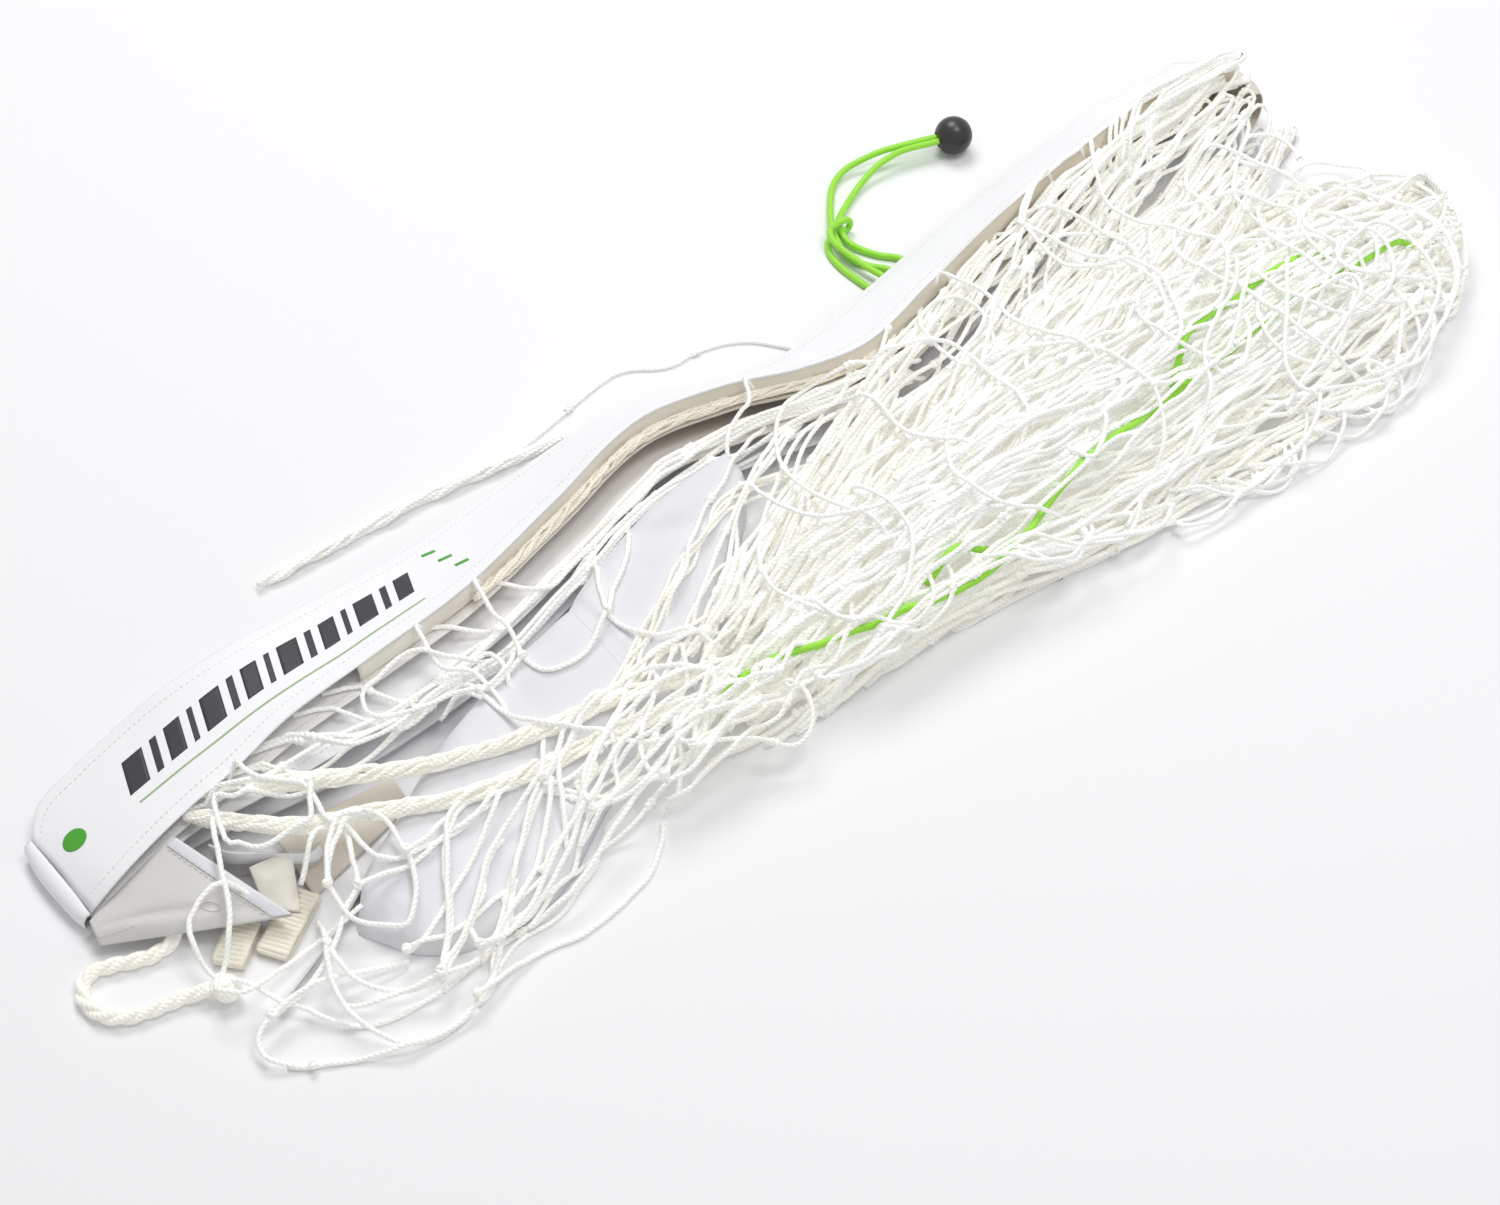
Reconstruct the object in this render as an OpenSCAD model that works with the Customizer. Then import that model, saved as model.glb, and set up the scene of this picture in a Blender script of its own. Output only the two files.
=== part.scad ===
// Portable sports net, folded into a bundle and laid on the floor.
// Four runs of a flat pole sleeve lie on each other along the back. A knotted twine net is
// gathered in front of them, a corner pocket and its straps lie at the left end, and an
// elastic ball tie lies behind. X runs along the bundle, Y to the back, Z up from the floor.

/* [Sleeve] */
// Thickness of the printed run, the top layer
printed_t = 8; // [5:0.5:10]
// Thickness of the second run
second_t = 9; // [5:0.5:11]
// Thickness of the third run
third_t = 14; // [8:0.5:16]
// Thickness of the bottom run, which lies on the floor
base_t = 12; // [8:0.5:14]
// How far the bottom run steps out towards the net
base_step = 40; // [20:1:42]
// How far the third run steps out towards the net
third_step = 30; // [12:1:34]
// How far the second run steps out towards the net
second_step = 8; // [3:1:12]
// Depth of the fold at the low left end of the sleeve
left_fold_depth = 9; // [5:0.5:10]
// Depth of the fold at the right end of the sleeve
right_fold_depth = 16; // [10:1:20]

/* [Corner pocket] */
// Wall of the pocket cloth
pocket_wall = 2; // [1.2:0.1:3]
// Length of the pocket along the sleeve
pocket_length = 64; // [55:1:66]
// Width of the hem sewn round the pocket mouth
hem_w = 8; // [5:0.5:10]
// Thickness of the hem
hem_t = 1.6; // [1:0.1:2.4]

/* [Straps] */
// Width of the ribbed strap
strap_w = 20; // [16:1:22]
// Thickness of one ply of the strap
strap_t = 2.2; // [1.5:0.1:2.6]
// Height of the eye that the folded strap leaves
strap_eye = 3; // [2:0.2:3.4]
// Diameter of the anchor rope
rope_d = 10; // [6:0.5:11]
// Width of the loose edge tape
tape_w = 9; // [6:0.5:12]
// Thickness of the loose edge tape
tape_t = 1.6; // [1:0.1:2.5]

/* [Net] */
// Diameter of the net twine
twine_d = 3.5; // [2.5:0.1:3.6]
// Loops of twine in each of the two layers
loops = 12; // [4:1:12]
// Step from one loop to the next
loop_step = 4.6; // [4.5:0.1:4.8]
// Rise from the lower layer of loops to the upper one
layer_rise = 5.6; // [5.4:0.1:7]
// Diameter of the gathered head ropes
head_rope_d = 9; // [6:0.5:10]
// Diameter of the cord that laces the net to the sleeve
lacing_d = 6; // [4:0.5:6.5]
// Diameter of a knot in the skirt of the net
knot_d = 6.6; // [5:0.2:8]
// Height of the gathered net at its highest
net_h = 55; // [40:1:60]

/* [Ball tie] */
// Diameter of the ball
ball_d = 28; // [26:1:34]
// Diameter of the elastic cord
elastic_d = 4.8; // [4:0.1:4.9]
// Running clearance of the doubled cord in the ball
bore_gap = 0.35; // [0.2:0.05:0.8]
// Diameter of the knot at the end of the doubled cord
end_knot_d = 12; // [11:0.2:13]
// Length of the knot
end_knot_l = 7; // [5:0.2:8]
// Radial clearance of the knot in its pocket in the ball
knot_gap = 0.5; // [0.3:0.1:1]

/* [Hidden] */

// Clearance between soft pieces that lie on each other
lay_gap = 0.3;
// Clearance between the runs of the sleeve, whose skins are flat between the sections
run_gap = 0.8;
// Clearance of a thin piece above the floor
floor_gap = 0.1;

// Course of the sleeve: [x, front edge y, back edge y, front top z, back top z, step share]
course = [
    [-512,  20,  88, 17, 15, 0.0],
    [-496, 19.5, 107, 29, 18, 0.0],
    [-469,  23, 112, 38, 25, 0.0],
    [-431,  29, 116, 44, 34, 0.1],
    [-398,  33, 117, 47, 42, 0.4],
    [-355,  42, 116, 50, 46, 0.8],
    [-290,  48, 119, 51, 38, 1.0],
    [-216,  54, 123, 53, 28, 1.0],
    [-128,  74, 138, 56, 18, 1.0],
    [ -45,  94, 146, 58, 14, 1.0],
    [  20,  80, 134, 60, 12, 0.9],
    [  65,  60, 116, 61, 12, 0.7],
    [ 115,  48, 112, 63, 16, 0.6],
    [ 182,  62, 124, 64, 14, 0.6],
    [ 266,  82, 140, 64, 13, 0.6],
    [ 378,  98, 156, 64, 13, 0.6],
    [ 446, 104, 162, 62, 13, 0.5],
    [ 525,  98, 160, 52, 13, 0.5]
];
sleeve_left = course[0][0];
sleeve_right = course[len(course) - 1][0];
// Width of the rounded nose along each edge of the sleeve
nose = 3;

// Value of column c of the course at x
function on_course(x, c) = lookup(x, [for (s = course) [s[0], s[c]]]);

// Front edge of a run that steps out by step
function run_front(x, step) = on_course(x, 1) - step * on_course(x, 5);
function stack_front(x) = run_front(x, base_step);

// The runs from the floor up: [thickness at the front, step]
runs = [[base_t, base_step], [third_t, third_step], [second_t, second_step], [printed_t, 0]];
// Lift of the printed run over the second one, which leaves room for the lacing cord
lacing_room = lacing_d + 2 * lay_gap;
// Front heights as shares of the printed run's top at its usual height
front_sum = base_t + third_t + second_t + lacing_room + printed_t + 3 * run_gap;

// Height of the underside of run k at the front edge, on a stack of height h
function run_floor(k, h) = k == 0 ? 0
    : h * (run_floor_sum(k) / front_sum);
function run_floor_sum(k) = k == 0 ? 0
    : run_floor_sum(k - 1) + runs[k - 1][0] + run_gap + (k == 3 ? lacing_room : 0);
function run_front_top(k, h) = h * ((run_floor_sum(k) + runs[k][0]) / front_sum);
// At the back edge the four runs share the height evenly
function run_back_floor(k, h) = h * k / len(runs);
function run_back_top(k, h) = h * (k + 1) / len(runs) - run_gap;

// One section of a flat sleeve, from front edge [y, underside z, top z] to back edge
function sleeve_section(x, front, back) =
    let (mid_y = (front[0] + back[0]) / 2,
        mid_low = (front[1] + back[1]) / 2,
        mid_top = (front[2] + back[2]) / 2)
    [
        [x, front[0], (front[1] + front[2]) / 2],
        [x, front[0] + nose, front[2]],
        [x, mid_y, mid_top],
        [x, back[0] - nose, back[2]],
        [x, back[0], (back[1] + back[2]) / 2],
        [x, back[0] - nose, back[1]],
        [x, mid_y, mid_low],
        [x, front[0] + nose, front[1]]
    ];

// Closed skin over a row of sections that have the same number of points
module loft(sections) {
    count = len(sections[0]);
    last = len(sections) - 1;
    points = [for (section = sections) each section];
    sides = [for (i = [0 : last - 1], j = [0 : count - 1])
        let (a = i * count + j, b = i * count + (j + 1) % count)
        each [[a, b, b + count], [a, b + count, a + count]]];
    start_cap = [for (j = [1 : count - 2]) [0, j + 1, j]];
    end_cap = [for (j = [1 : count - 2])
        [last * count, last * count + j, last * count + j + 1]];
    polyhedron(points, concat(sides, start_cap, end_cap));
}

module sleeve_run(k) {
    step = runs[k][1];
    loft([for (s = course)
        sleeve_section(s[0],
            [run_front(s[0], step), run_floor(k, s[3]), run_front_top(k, s[3])],
            [s[2], run_back_floor(k, s[4]), run_back_top(k, s[4])])]);
}

// Cloth that turns round the end of the stack: half a barrel standing on the floor
module end_fold(x, side, depth, front, back, height) {
    rise = height / 2;
    outline = [for (a = [-90 : 15 : 90])
        [x + side * (lay_gap + depth * cos(a)), rise + rise * sin(a)]];
    loft([for (y = side < 0 ? [back, front] : [front, back])
        [for (p = outline) [p[0], y, p[1]]]]);
}

// Unit vector along v
function unit(v) = v / norm(v);

// Directions along a route at point i
function along(route, i) =
    unit(route[min(i + 1, len(route) - 1)] - route[max(i - 1, 0)]);

// Tube along a route that never runs straight up or down, of one diameter or one per point
module cord(route, diameter, sides) {
    loft([for (i = [0 : len(route) - 1])
        let (t = along(route, i), side = unit(cross(t, [0, 0, 1])), up = cross(side, t),
            radius = (is_list(diameter) ? diameter[i] : diameter) / 2)
        [for (j = [0 : sides - 1])
            let (a = 360 * j / sides)
            route[i] + radius * (cos(a) * side + sin(a) * up)]]);
}

// Route rounded by cutting each corner at its quarter points, with its ends kept
function rounded(route, times) = times == 0 ? route
    : rounded(concat([route[0]],
        [for (i = [0 : len(route) - 2])
            each [route[i] * 0.75 + route[i + 1] * 0.25, route[i] * 0.25 + route[i + 1] * 0.75]],
        [route[len(route) - 1]]), times - 1);

// ---- Corner pocket: a closed tip at the left, an open mouth towards the middle
pocket_tip_x = sleeve_left - 4;
mouth_x = pocket_tip_x + pocket_length;
// Size of the blunt corners of the pocket
pocket_corner = 2;
// Lowest corners of the pocket, over the straps
pocket_floor = 2 * strap_t + strap_eye + floor_gap + lay_gap + pocket_corner / 2;
// The pocket leans on the front of the stack
pocket_back = stack_front(mouth_x) - lay_gap - pocket_corner / 2;
mouth_top = [mouth_x, pocket_back, 36];
mouth_back = [mouth_x, pocket_back, pocket_floor];
mouth_front = [mouth_x + 28, pocket_back - 80, 17];
mouth_low = [mouth_x + 22, pocket_back - 67, pocket_floor];
// The tip droops forward to a low point
tip_high = [pocket_tip_x, 16, 15];
tip_low = [pocket_tip_x - 3, 2, pocket_floor + pocket_corner / 2];

// Solid of the pocket, drawn in by inset on every side and run out past its mouth
module pocket_solid(inset, run_out) {
    hull() {
        for (p = [mouth_top, mouth_back, mouth_front, mouth_low])
            translate(p + [run_out, 0, 0] + inset * pocket_inward(p))
                cube(pocket_corner, center = true);
        for (p = [tip_high + inset * [2, -0.8, -1], tip_low + inset * [2, 0.3, 1]])
            translate(p)
                cube(pocket_corner, center = true);
    }
}
// The inner flap starts behind the hem
flap_share = 0.35;
flap_root = let (p = mouth_top + flap_share * (mouth_front - mouth_top))
    [p[0] + pocket_corner / 2 + hem_t + 3 * lay_gap, p[1], p[2] + hem_w / 4];
// Direction from a corner of the mouth towards the middle of the mouth
function pocket_inward(p) = let (m = (mouth_top + mouth_back + mouth_front + mouth_low) / 4)
    [0, p[1] > m[1] ? -1.4 : 1.4, p[2] > m[2] ? -1.4 : 1];

// ---- Panels in front of the stack: [x, front y, front z, back y, back z]
front_panel_edges = [
    [-396,  -92, 12,  -74, 14],
    [-378, -118, 14,  -62, 26],
    [-348, -136, 14,  -46, 34],
    [-291, -138, 16,  -16, 38],
    [-228, -106, 20,    4, 41],
    [-168,  -84, 24,   16, 43]
];
// The upper end of the middle panel leans on the rounded nose of the bottom run
panel_lean = 1.4;
middle_panel_edges = [
    [-167.4, -82, 25,   17, 44],
    [-124,   -60, 30,   stack_front(-124) + panel_lean, 45],
    [ -64,   -22, 36,   stack_front(-64) + panel_lean, 46],
    [ -12,    22, 40,   stack_front(-12) + panel_lean, 46]
];

module panel(edges) {
    loft([for (e = edges)
        sleeve_section(e[0], [e[1], 0, e[2]], [e[3], 0, e[4]])]);
}

// ---- Straps that come out from under the pocket: [root, direction in degrees]
left_strap = [[-447, -38], 217];
right_strap = [[-424, -52], 217];
strap_l = 24;

// Folded strap that lies flat and leaves an eye along its bend
module strap_loop(place) {
    ply = strap_t;
    height = 2 * strap_t + strap_eye;
    translate([place[0][0], place[0][1], floor_gap])
        rotate([0, 0, place[1]])
            translate([0, strap_w / 2, 0])
                rotate([90, 0, 0])
                    linear_extrude(strap_w)
                        difference() {
                            union() {
                                square([strap_l, height]);
                                translate([strap_l, height / 2])
                                    circle(d = height, $fn = 32);
                            }
                            translate([6, ply])
                                square([strap_l - 6, strap_eye]);
                            translate([strap_l, height / 2])
                                circle(d = strap_eye, $fn = 32);
                        }
}

// ---- Gathered net: a heap with a rim, a crown and two layers of long loops over it
heap_left = -130;
heap_right = 552;
heap_mid_x = (heap_left + heap_right) / 2;
heap_half_l = (heap_right - heap_left) / 2;
heap_rim = 12;
// [x, front y, back y where nothing else bounds it, height as a share of net_h]
heap_course = [
    [-130, -140, -60, 0.45],
    [ -60, -140, -40, 0.65],
    [   0, -140,  14, 0.80],
    [ 100, -150,  60, 0.95],
    [ 226, -174,  60, 1.00],
    [ 330, -182,  60, 0.98],
    [ 400, -184,  50, 0.92],
    [ 450, -172,  16, 0.84],
    [ 500, -150,   8, 0.72],
    [ 552, -130,   0, 0.55]
];
function on_heap(x, c) = lookup(x, [for (s = heap_course) [s[0], s[c]]]);
function heap_back(x) = min(on_heap(x, 2), stack_front(x) - 2 * lay_gap);
function heap_mid(x) = (on_heap(x, 1) + heap_back(x)) / 2;
function heap_half(x) = (heap_back(x) - on_heap(x, 1)) / 2;
// How full the outline is at angle a round the heap
end_roundness = 0.45;
function heap_close(a) = sign(sin(a)) * pow(abs(sin(a)), end_roundness);
// The loops draw together where the heap is narrow
function loop_spread(x) = max(0.92, heap_half(x) / 85);

// At the narrow left end each inset ends this many times further in
left_stagger = 2.2;

// Point on the heap at angle a, inset from its outline, lifted over its skin
function heap_point(a, inset, lift) =
    let (x = heap_mid_x + (heap_half_l - inset * (cos(a) < 0 ? left_stagger : 1)) * cos(a),
        half = heap_half(x),
        in = min(half, inset * loop_spread(x)),
        y = heap_mid(x) + (half - in) * heap_close(a),
        crown = net_h * on_heap(x, 3) - heap_rim,
        z = heap_rim + crown * sin(90 * in / half))
    [x, y, z + lift];

heap_insets = [0, 10, 22, 38, 56, 70];
turn = 15;
module heap_body() {
    rings = concat(
        [[for (a = [360 : -turn : turn]) let (p = heap_point(a, 0, 0)) [p[0], p[1], 0]]],
        [for (inset = heap_insets)
            [for (a = [360 : -turn : turn]) heap_point(a, inset, 0)]]);
    loft(rings);
}

// Both layers of loops as one route: inwards on the lower layer, outwards on the upper
first_inset = 9;
strand_sides = 6;
per_loop = 24;
half_turns = 0.5;
strand_lift = twine_d / 2 + 2.7;
strand_route = [for (i = [0 : 2 * loops * per_loop])
    let (turns = i / per_loop,
        inward = min(turns, 2 * loops - turns),
        climb = min(1, max(0, (turns - loops + half_turns / 2) / half_turns)))
    heap_point(turns * 360, first_inset + loop_step * inward, strand_lift + layer_rise * climb)];

// Least gap of the strand to itself, measured between points a quarter loop or more apart
// and one or two loops apart
function strand_gap(skip) = min([for (i = [0 : len(strand_route) - 1 - skip])
    norm(strand_route[i + skip] - strand_route[i])]) - twine_d;
strand_gaps = [for (k = [1 : 4]) min([for (j = [-2 : 2]) strand_gap(k * per_loop + j)])];
function strand_cross(i) = min([for (j = [-3 : 3])
    let (k = 2 * loops * per_loop - i + j)
    abs(k - i) < per_loop / 2 || k >= len(strand_route) ? 1000
        : norm(strand_route[k] - strand_route[i])]) - twine_d;
cross_gap = min([for (i = [0 : loops * per_loop]) strand_cross(i)]);
echo(strand_gap_mm = min(concat(strand_gaps, [cross_gap])));

// ---- Skirt of the net, spread on the floor in front of the panels
skirt_outer = [[-470, -136], [-424, -158], [-372, -164], [-324, -162], [-287, -168],
    [-242, -158], [-196, -138], [heap_left - 1.8, heap_mid(heap_left)]];
skirt_inner = [[-450, -108], [-404, -134], [-354, -150], [-306, -150], [-264, -138],
    [-220, -118], [-172, -100]];

// The cross strand turns this far short of the knots of the outer one
knot_clear = (knot_d + twine_d) / 2 + 2 * lay_gap;
skirt_cross = [for (i = [0 : len(skirt_inner) - 1]) each [
    skirt_outer[i] + knot_clear * unit(skirt_inner[i] - skirt_outer[i]),
    skirt_inner[i]]];

// Twine on the floor that swells to a knot at every point of its route
module knotted(route) {
    last = len(route) - 1;
    stops = [for (i = [0 : last]) each [
        if (i > 0) [route[i] + knot_d * unit(route[i - 1] - route[i]), twine_d],
        [route[i], knot_d],
        if (i < last) [route[i] + knot_d * unit(route[i + 1] - route[i]), twine_d]]];
    cord([for (s = stops) [s[0][0], s[0][1], s[1] / 2 + floor_gap]],
        [for (s = stops) s[1]], 8);
}

// ---- Routes of ropes and cords, through points chosen by hand
head_upper_route = [[-404, 14, 52], [-366, -6, 46], [-312, -34, 41], [-250, -54, 36.5],
    [-190, -64, 37], [-140, -80, 36], [-112, -94, 42]];
head_lower_route = [[-392, -20, 36], [-356, -40, 40], [-304, -66, 35.5], [-246, -76, 32.5],
    [-190, -82, 30], [-142, -100, 28], [-118, -112, 36]];
back_rope_route = [[-294, 176, 0], [-240, 173, 0], [-160, 168, 0], [-92, 158, 0], [-50, 150, 0]];
back_loop_route = [[-96, 164.6, 0], [-52, 172, 0], [-14, 180, 0], [10, 181, 0], [34, 160, 0],
    [60, 162, 0], [92, 150, 0], [112, 122, 0], [116, 113.4, 0]];
elastic_route = [[-96, 0.5], [-60, 0.42], [0, 0.3], [60, 0.24], [120, 0.26], [180, 0.32],
    [266, 0.42], [340, 0.5], [410, 0.56], [470, 0.6], [500, 0.74]];
anchor_knot_at = [-478, -70];
anchor_knot_d = 17;
anchor_route = [[-489, -21.6, 0], [-500, -21, 0], [-515, -14, 0], [-530, -7, 0],
    [-541, -11, 0], [-546, -25, 0], [-541, -41, 0], [-527, -50, 0], [-510, -54, 0],
    [-499, -57, 0], [-490, -61.6, 2], [-485.6, -63.8, 3.5]];

// Route lifted to lie on the floor
function on_floor(route, diameter) =
    [for (p = route) p + [0, 0, diameter / 2 + floor_gap]];

// Point over the loops at x, a share of the way from the front rim to the middle
function over_net(x, share, lift) =
    let (c = (x - heap_mid_x) / heap_half_l,
        close = pow(1 - c * c, end_roundness / 2),
        half = heap_half(x) * close,
        z = heap_rim + (net_h * on_heap(x, 3) - heap_rim) * sin(90 * share))
    [x, heap_mid(x) - half * (1 - share), z + lift];

// ---- Ball tie
ball_at = [340, 204, ball_d / 2];
// Direction from the ball back along the doubled cord
tie_angle = 160;
tie_dir = [cos(tie_angle), sin(tie_angle), 0];
tie_side = [-sin(tie_angle), cos(tie_angle), 0];
// Length of the straight doubled cord from the middle of the ball
tie_straight = 42;
pair_gap = 0.1;
pair_offset = (elastic_d + pair_gap) / 2;
bore_r = pair_offset + elastic_d / 2 + bore_gap;
// The seat of the knot is this far behind the middle of the ball
knot_seat = 4;
knot_face = knot_seat + 0.1;
outer_points = [[288, 226.5, 12.5], [274, 231.5, 9], [258, 234.5, 5.5], [243, 229, 3.2],
    [230, 216, 3.2], [217.5, 201.5, 5], [209.3, 190, 7.7], [204, 178, 6], [200.5, 163, 3.2],
    [208, 147, 2.6], [215, 139, 2.6]];
inner_points = [[288, 217.5, 12.5], [276, 218.5, 9.5], [258, 215, 5.2], [240, 207.5, 3.4],
    [222, 197.5, 5], [214.1, 188.3, 7.7], [210, 174, 4], [219, 153, 2.6], [229, 142, 2.6]];
hitch_points = [[202, 140, 8.4], [200, 158, 9], [197, 174, 12], [201, 185, 13.6],
    [210, 187.5, 14.2], [221, 186.5, 13.2], [223.6, 186, 7.7], [221, 186.5, 2.5],
    [209, 187.5, 2.5], [201, 186, 2.5], [194, 176, 2.5], [191, 160, 2.5], [192, 140, 2.6]];

// Where a leg of the tie meets the back edge of the sleeve
function seam(x, z) = [x, on_course(x, 2) + lay_gap, z];
function tie_start(side) =
    let (o = side * pair_offset)
    [ball_at - knot_face * tie_dir + o * tie_side,
        ball_at + tie_straight / 2 * tie_dir + o * tie_side,
        ball_at + tie_straight * tie_dir + o * tie_side];
seat_z = elastic_d / 2 + floor_gap;
outer_route = concat(tie_start(-1), outer_points, [seam(217, seat_z) + [0, 3, 0], seam(217, seat_z)]);
inner_route = concat(tie_start(1), inner_points, [seam(231, seat_z) + [0, 3, 0], seam(231, seat_z)]);
hitch_route = concat([seam(204, 8.4), seam(204, 8.4) + [0, 3, 0]], hitch_points,
    [seam(193, seat_z) + [0, 3, 0], seam(193, seat_z)]);

// Turns the X axis to the direction of the doubled cord
module along_tie() {
    translate(ball_at)
        rotate([0, 0, tie_angle])
            rotate([0, 90, 0])
                children();
}

// Puts the middle of the bundle, without its cords, over the origin
centre_shift = [-15, 0, 0];
module placed() {
    translate(centre_shift)
        children();
}

// ==== Sub-parts

module printed_run() {
    color("white") sleeve_run(3);
}

module second_run() {
    color("gainsboro") sleeve_run(2);
}

module third_run() {
    color("whitesmoke") sleeve_run(1);
}

module base_run() {
    color("white") sleeve_run(0);
}

module left_fold() {
    s = course[0];
    color("white") end_fold(s[0], -1, left_fold_depth, s[1], s[2], min(s[3], s[4]));
}

module right_fold() {
    s = course[len(course) - 1];
    color("white")
        end_fold(s[0], 1, right_fold_depth, s[1] - base_step * s[5], s[1] + 24, s[3] * 0.7);
}

module corner_pocket() {
    color("gainsboro")
        difference() {
            pocket_solid(0, 0);
            pocket_solid(pocket_wall, 6);
        }
}

module pocket_hem() {
    out = [pocket_corner / 2 + 3 * lay_gap, 0, 0];
    color("white")
        hull() {
            for (p = [mouth_top, mouth_front])
                translate(p + out + [hem_t / 2, 0, 0])
                    cube([hem_t, hem_t, hem_w], center = true);
        }
}

module pocket_flap() {
    color("whitesmoke")
        loft([for (s = [flap_root, [-416, -4, 24], [-400, -16, 22], [-388, -36, 20]])
            [[s[0], s[1], floor_gap], [s[0], s[1], s[2]],
                [s[0] + hem_t, s[1] + 1, s[2]], [s[0] + hem_t, s[1] + 1, floor_gap]]]);
}

module front_panel() {
    color("white") panel(front_panel_edges);
}

module middle_panel() {
    color("white") panel(middle_panel_edges);
}

module end_flap() {
    // The flap reaches under the rounded nose of the bottom run
    tuck = 1.7;
    color("lavender")
        translate([0, 0, floor_gap])
            linear_extrude(1.6)
                polygon([[462, 24], [500, 34], [520, 62], [520, stack_front(520) + tuck],
                    [478, stack_front(478) + tuck]]);
}

module strap_loop_left() {
    color("ivory") strap_loop(left_strap);
}

module strap_loop_right() {
    color("ivory") strap_loop(right_strap);
}

module edge_tape() {
    a = [-374, -58.1];
    b = [-462, -100];
    delta = b - a;
    color("white")
        translate([a[0], a[1], floor_gap])
            rotate([0, 0, atan2(delta[1], delta[0])])
                cube([norm(delta), tape_t, tape_w]);
}

module net_heap() {
    color("linen") heap_body();
}

module net_strands() {
    color("ivory") cord(strand_route, twine_d, strand_sides);
}

module net_skirt() {
    color("ivory") {
        knotted(skirt_outer);
        knotted(skirt_cross);
    }
}

module head_rope_upper() {
    color("ivory") cord(rounded(head_upper_route, 1), head_rope_d, 8);
}

module head_rope_lower() {
    color("ivory") cord(rounded(head_lower_route, 1), head_rope_d, 8);
}

module back_rope() {
    color("ivory") cord(on_floor(rounded(back_rope_route, 1), head_rope_d), head_rope_d, 8);
}

module back_loop() {
    color("ivory") cord(on_floor(rounded(back_loop_route, 1), twine_d), twine_d, 8);
}

module lacing_cord() {
    rise = lacing_d / 2 + lay_gap;
    color("antiquewhite")
        cord([for (x = [-128 : 30 : 112])
            let (h = on_course(x, 3))
            [x, run_front(x, second_step) + nose + 2, run_front_top(2, h) + rise]],
            lacing_d, 8);
}

module net_elastic() {
    slack = 1.6;
    lift = strand_lift + layer_rise + twine_d / 2 + elastic_d / 2 + slack;
    color("greenyellow")
        cord([for (p = elastic_route) over_net(p[0], p[1], lift)], elastic_d, 8);
}

module anchor_rope() {
    color("ivory") cord(on_floor(rounded(anchor_route, 1), rope_d), rope_d, 10);
}

module anchor_knot() {
    color("ivory")
        translate([anchor_knot_at[0], anchor_knot_at[1], anchor_knot_d / 2 + floor_gap])
            sphere(d = anchor_knot_d, $fn = 32);
}

module tie_cord_outer() {
    color("greenyellow") cord(rounded(outer_route, 1), elastic_d, 8);
}

module tie_cord_inner() {
    color("greenyellow") cord(rounded(inner_route, 1), elastic_d, 8);
}

module tie_hitch() {
    color("greenyellow") cord(rounded(hitch_route, 1), elastic_d, 8);
}

module tie_end_knot() {
    color("greenyellow")
        along_tie()
            translate([0, 0, -knot_face - end_knot_l])
                cylinder(d = end_knot_d, h = end_knot_l, $fn = 48);
}

module tie_ball() {
    color("black")
        along_tie()
            rotate_extrude($fn = 64)
                difference() {
                    circle(d = ball_d, $fn = 96);
                    translate([-ball_d, -ball_d])
                        square([ball_d + bore_r, 2 * ball_d]);
                    translate([-ball_d, -knot_seat - ball_d])
                        square([ball_d + end_knot_d / 2 + knot_gap, ball_d]);
                }
}

placed() printed_run();
placed() second_run();
placed() third_run();
placed() base_run();
placed() left_fold();
placed() right_fold();
placed() corner_pocket();
placed() pocket_hem();
placed() pocket_flap();
placed() front_panel();
placed() middle_panel();
placed() end_flap();
placed() strap_loop_left();
placed() strap_loop_right();
placed() edge_tape();
placed() net_heap();
placed() net_strands();
placed() net_skirt();
placed() head_rope_upper();
placed() head_rope_lower();
placed() back_rope();
placed() back_loop();
placed() lacing_cord();
placed() net_elastic();
placed() anchor_rope();
placed() anchor_knot();
placed() tie_cord_outer();
placed() tie_cord_inner();
placed() tie_hitch();
placed() tie_end_knot();
placed() tie_ball();
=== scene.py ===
"""Folded portable sports net: sleeves, corner pocket, twine net and ball tie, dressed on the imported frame."""
import math

import bmesh
import bpy
import numpy as np
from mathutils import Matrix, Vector, noise
from mathutils.bvhtree import BVHTree


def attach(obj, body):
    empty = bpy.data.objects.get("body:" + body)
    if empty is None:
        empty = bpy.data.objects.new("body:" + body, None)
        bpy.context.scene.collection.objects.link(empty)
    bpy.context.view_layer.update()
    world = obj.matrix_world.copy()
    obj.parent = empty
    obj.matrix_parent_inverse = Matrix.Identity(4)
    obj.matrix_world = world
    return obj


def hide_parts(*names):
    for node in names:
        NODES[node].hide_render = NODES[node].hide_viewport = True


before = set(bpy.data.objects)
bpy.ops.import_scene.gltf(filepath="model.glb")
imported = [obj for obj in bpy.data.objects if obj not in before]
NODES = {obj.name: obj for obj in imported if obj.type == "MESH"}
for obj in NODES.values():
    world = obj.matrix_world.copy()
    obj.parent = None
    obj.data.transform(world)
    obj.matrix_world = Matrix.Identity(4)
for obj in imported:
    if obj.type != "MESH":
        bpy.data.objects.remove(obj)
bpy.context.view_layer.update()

MM = 0.001
# Routes are written from the middle of the sleeve, which lies this far from the frame's origin, in mm
SHIFT = np.array([-15.0, 0, 0])
scene = bpy.context.scene
scene.view_settings.view_transform = "Standard"


def metres(points):
    """Points in mm on the object as metres in the frame."""
    return (np.asarray(points, float) + SHIFT) * MM


# ---- Camera: from the front left, fifty degrees above the floor
CAMERA_AT = (-0.8322, -0.9413, 1.409)
TILT_FROM_DOWN, HEADING = 40, -40
LENS, SENSOR = 68.57, 36
camera = bpy.data.objects.new("camera", bpy.data.cameras.new("camera"))
scene.collection.objects.link(camera)
camera.location = CAMERA_AT
camera.rotation_euler = (math.radians(TILT_FROM_DOWN), 0, math.radians(HEADING))
camera.data.lens, camera.data.sensor_width = LENS, SENSOR
scene.camera = camera


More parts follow.
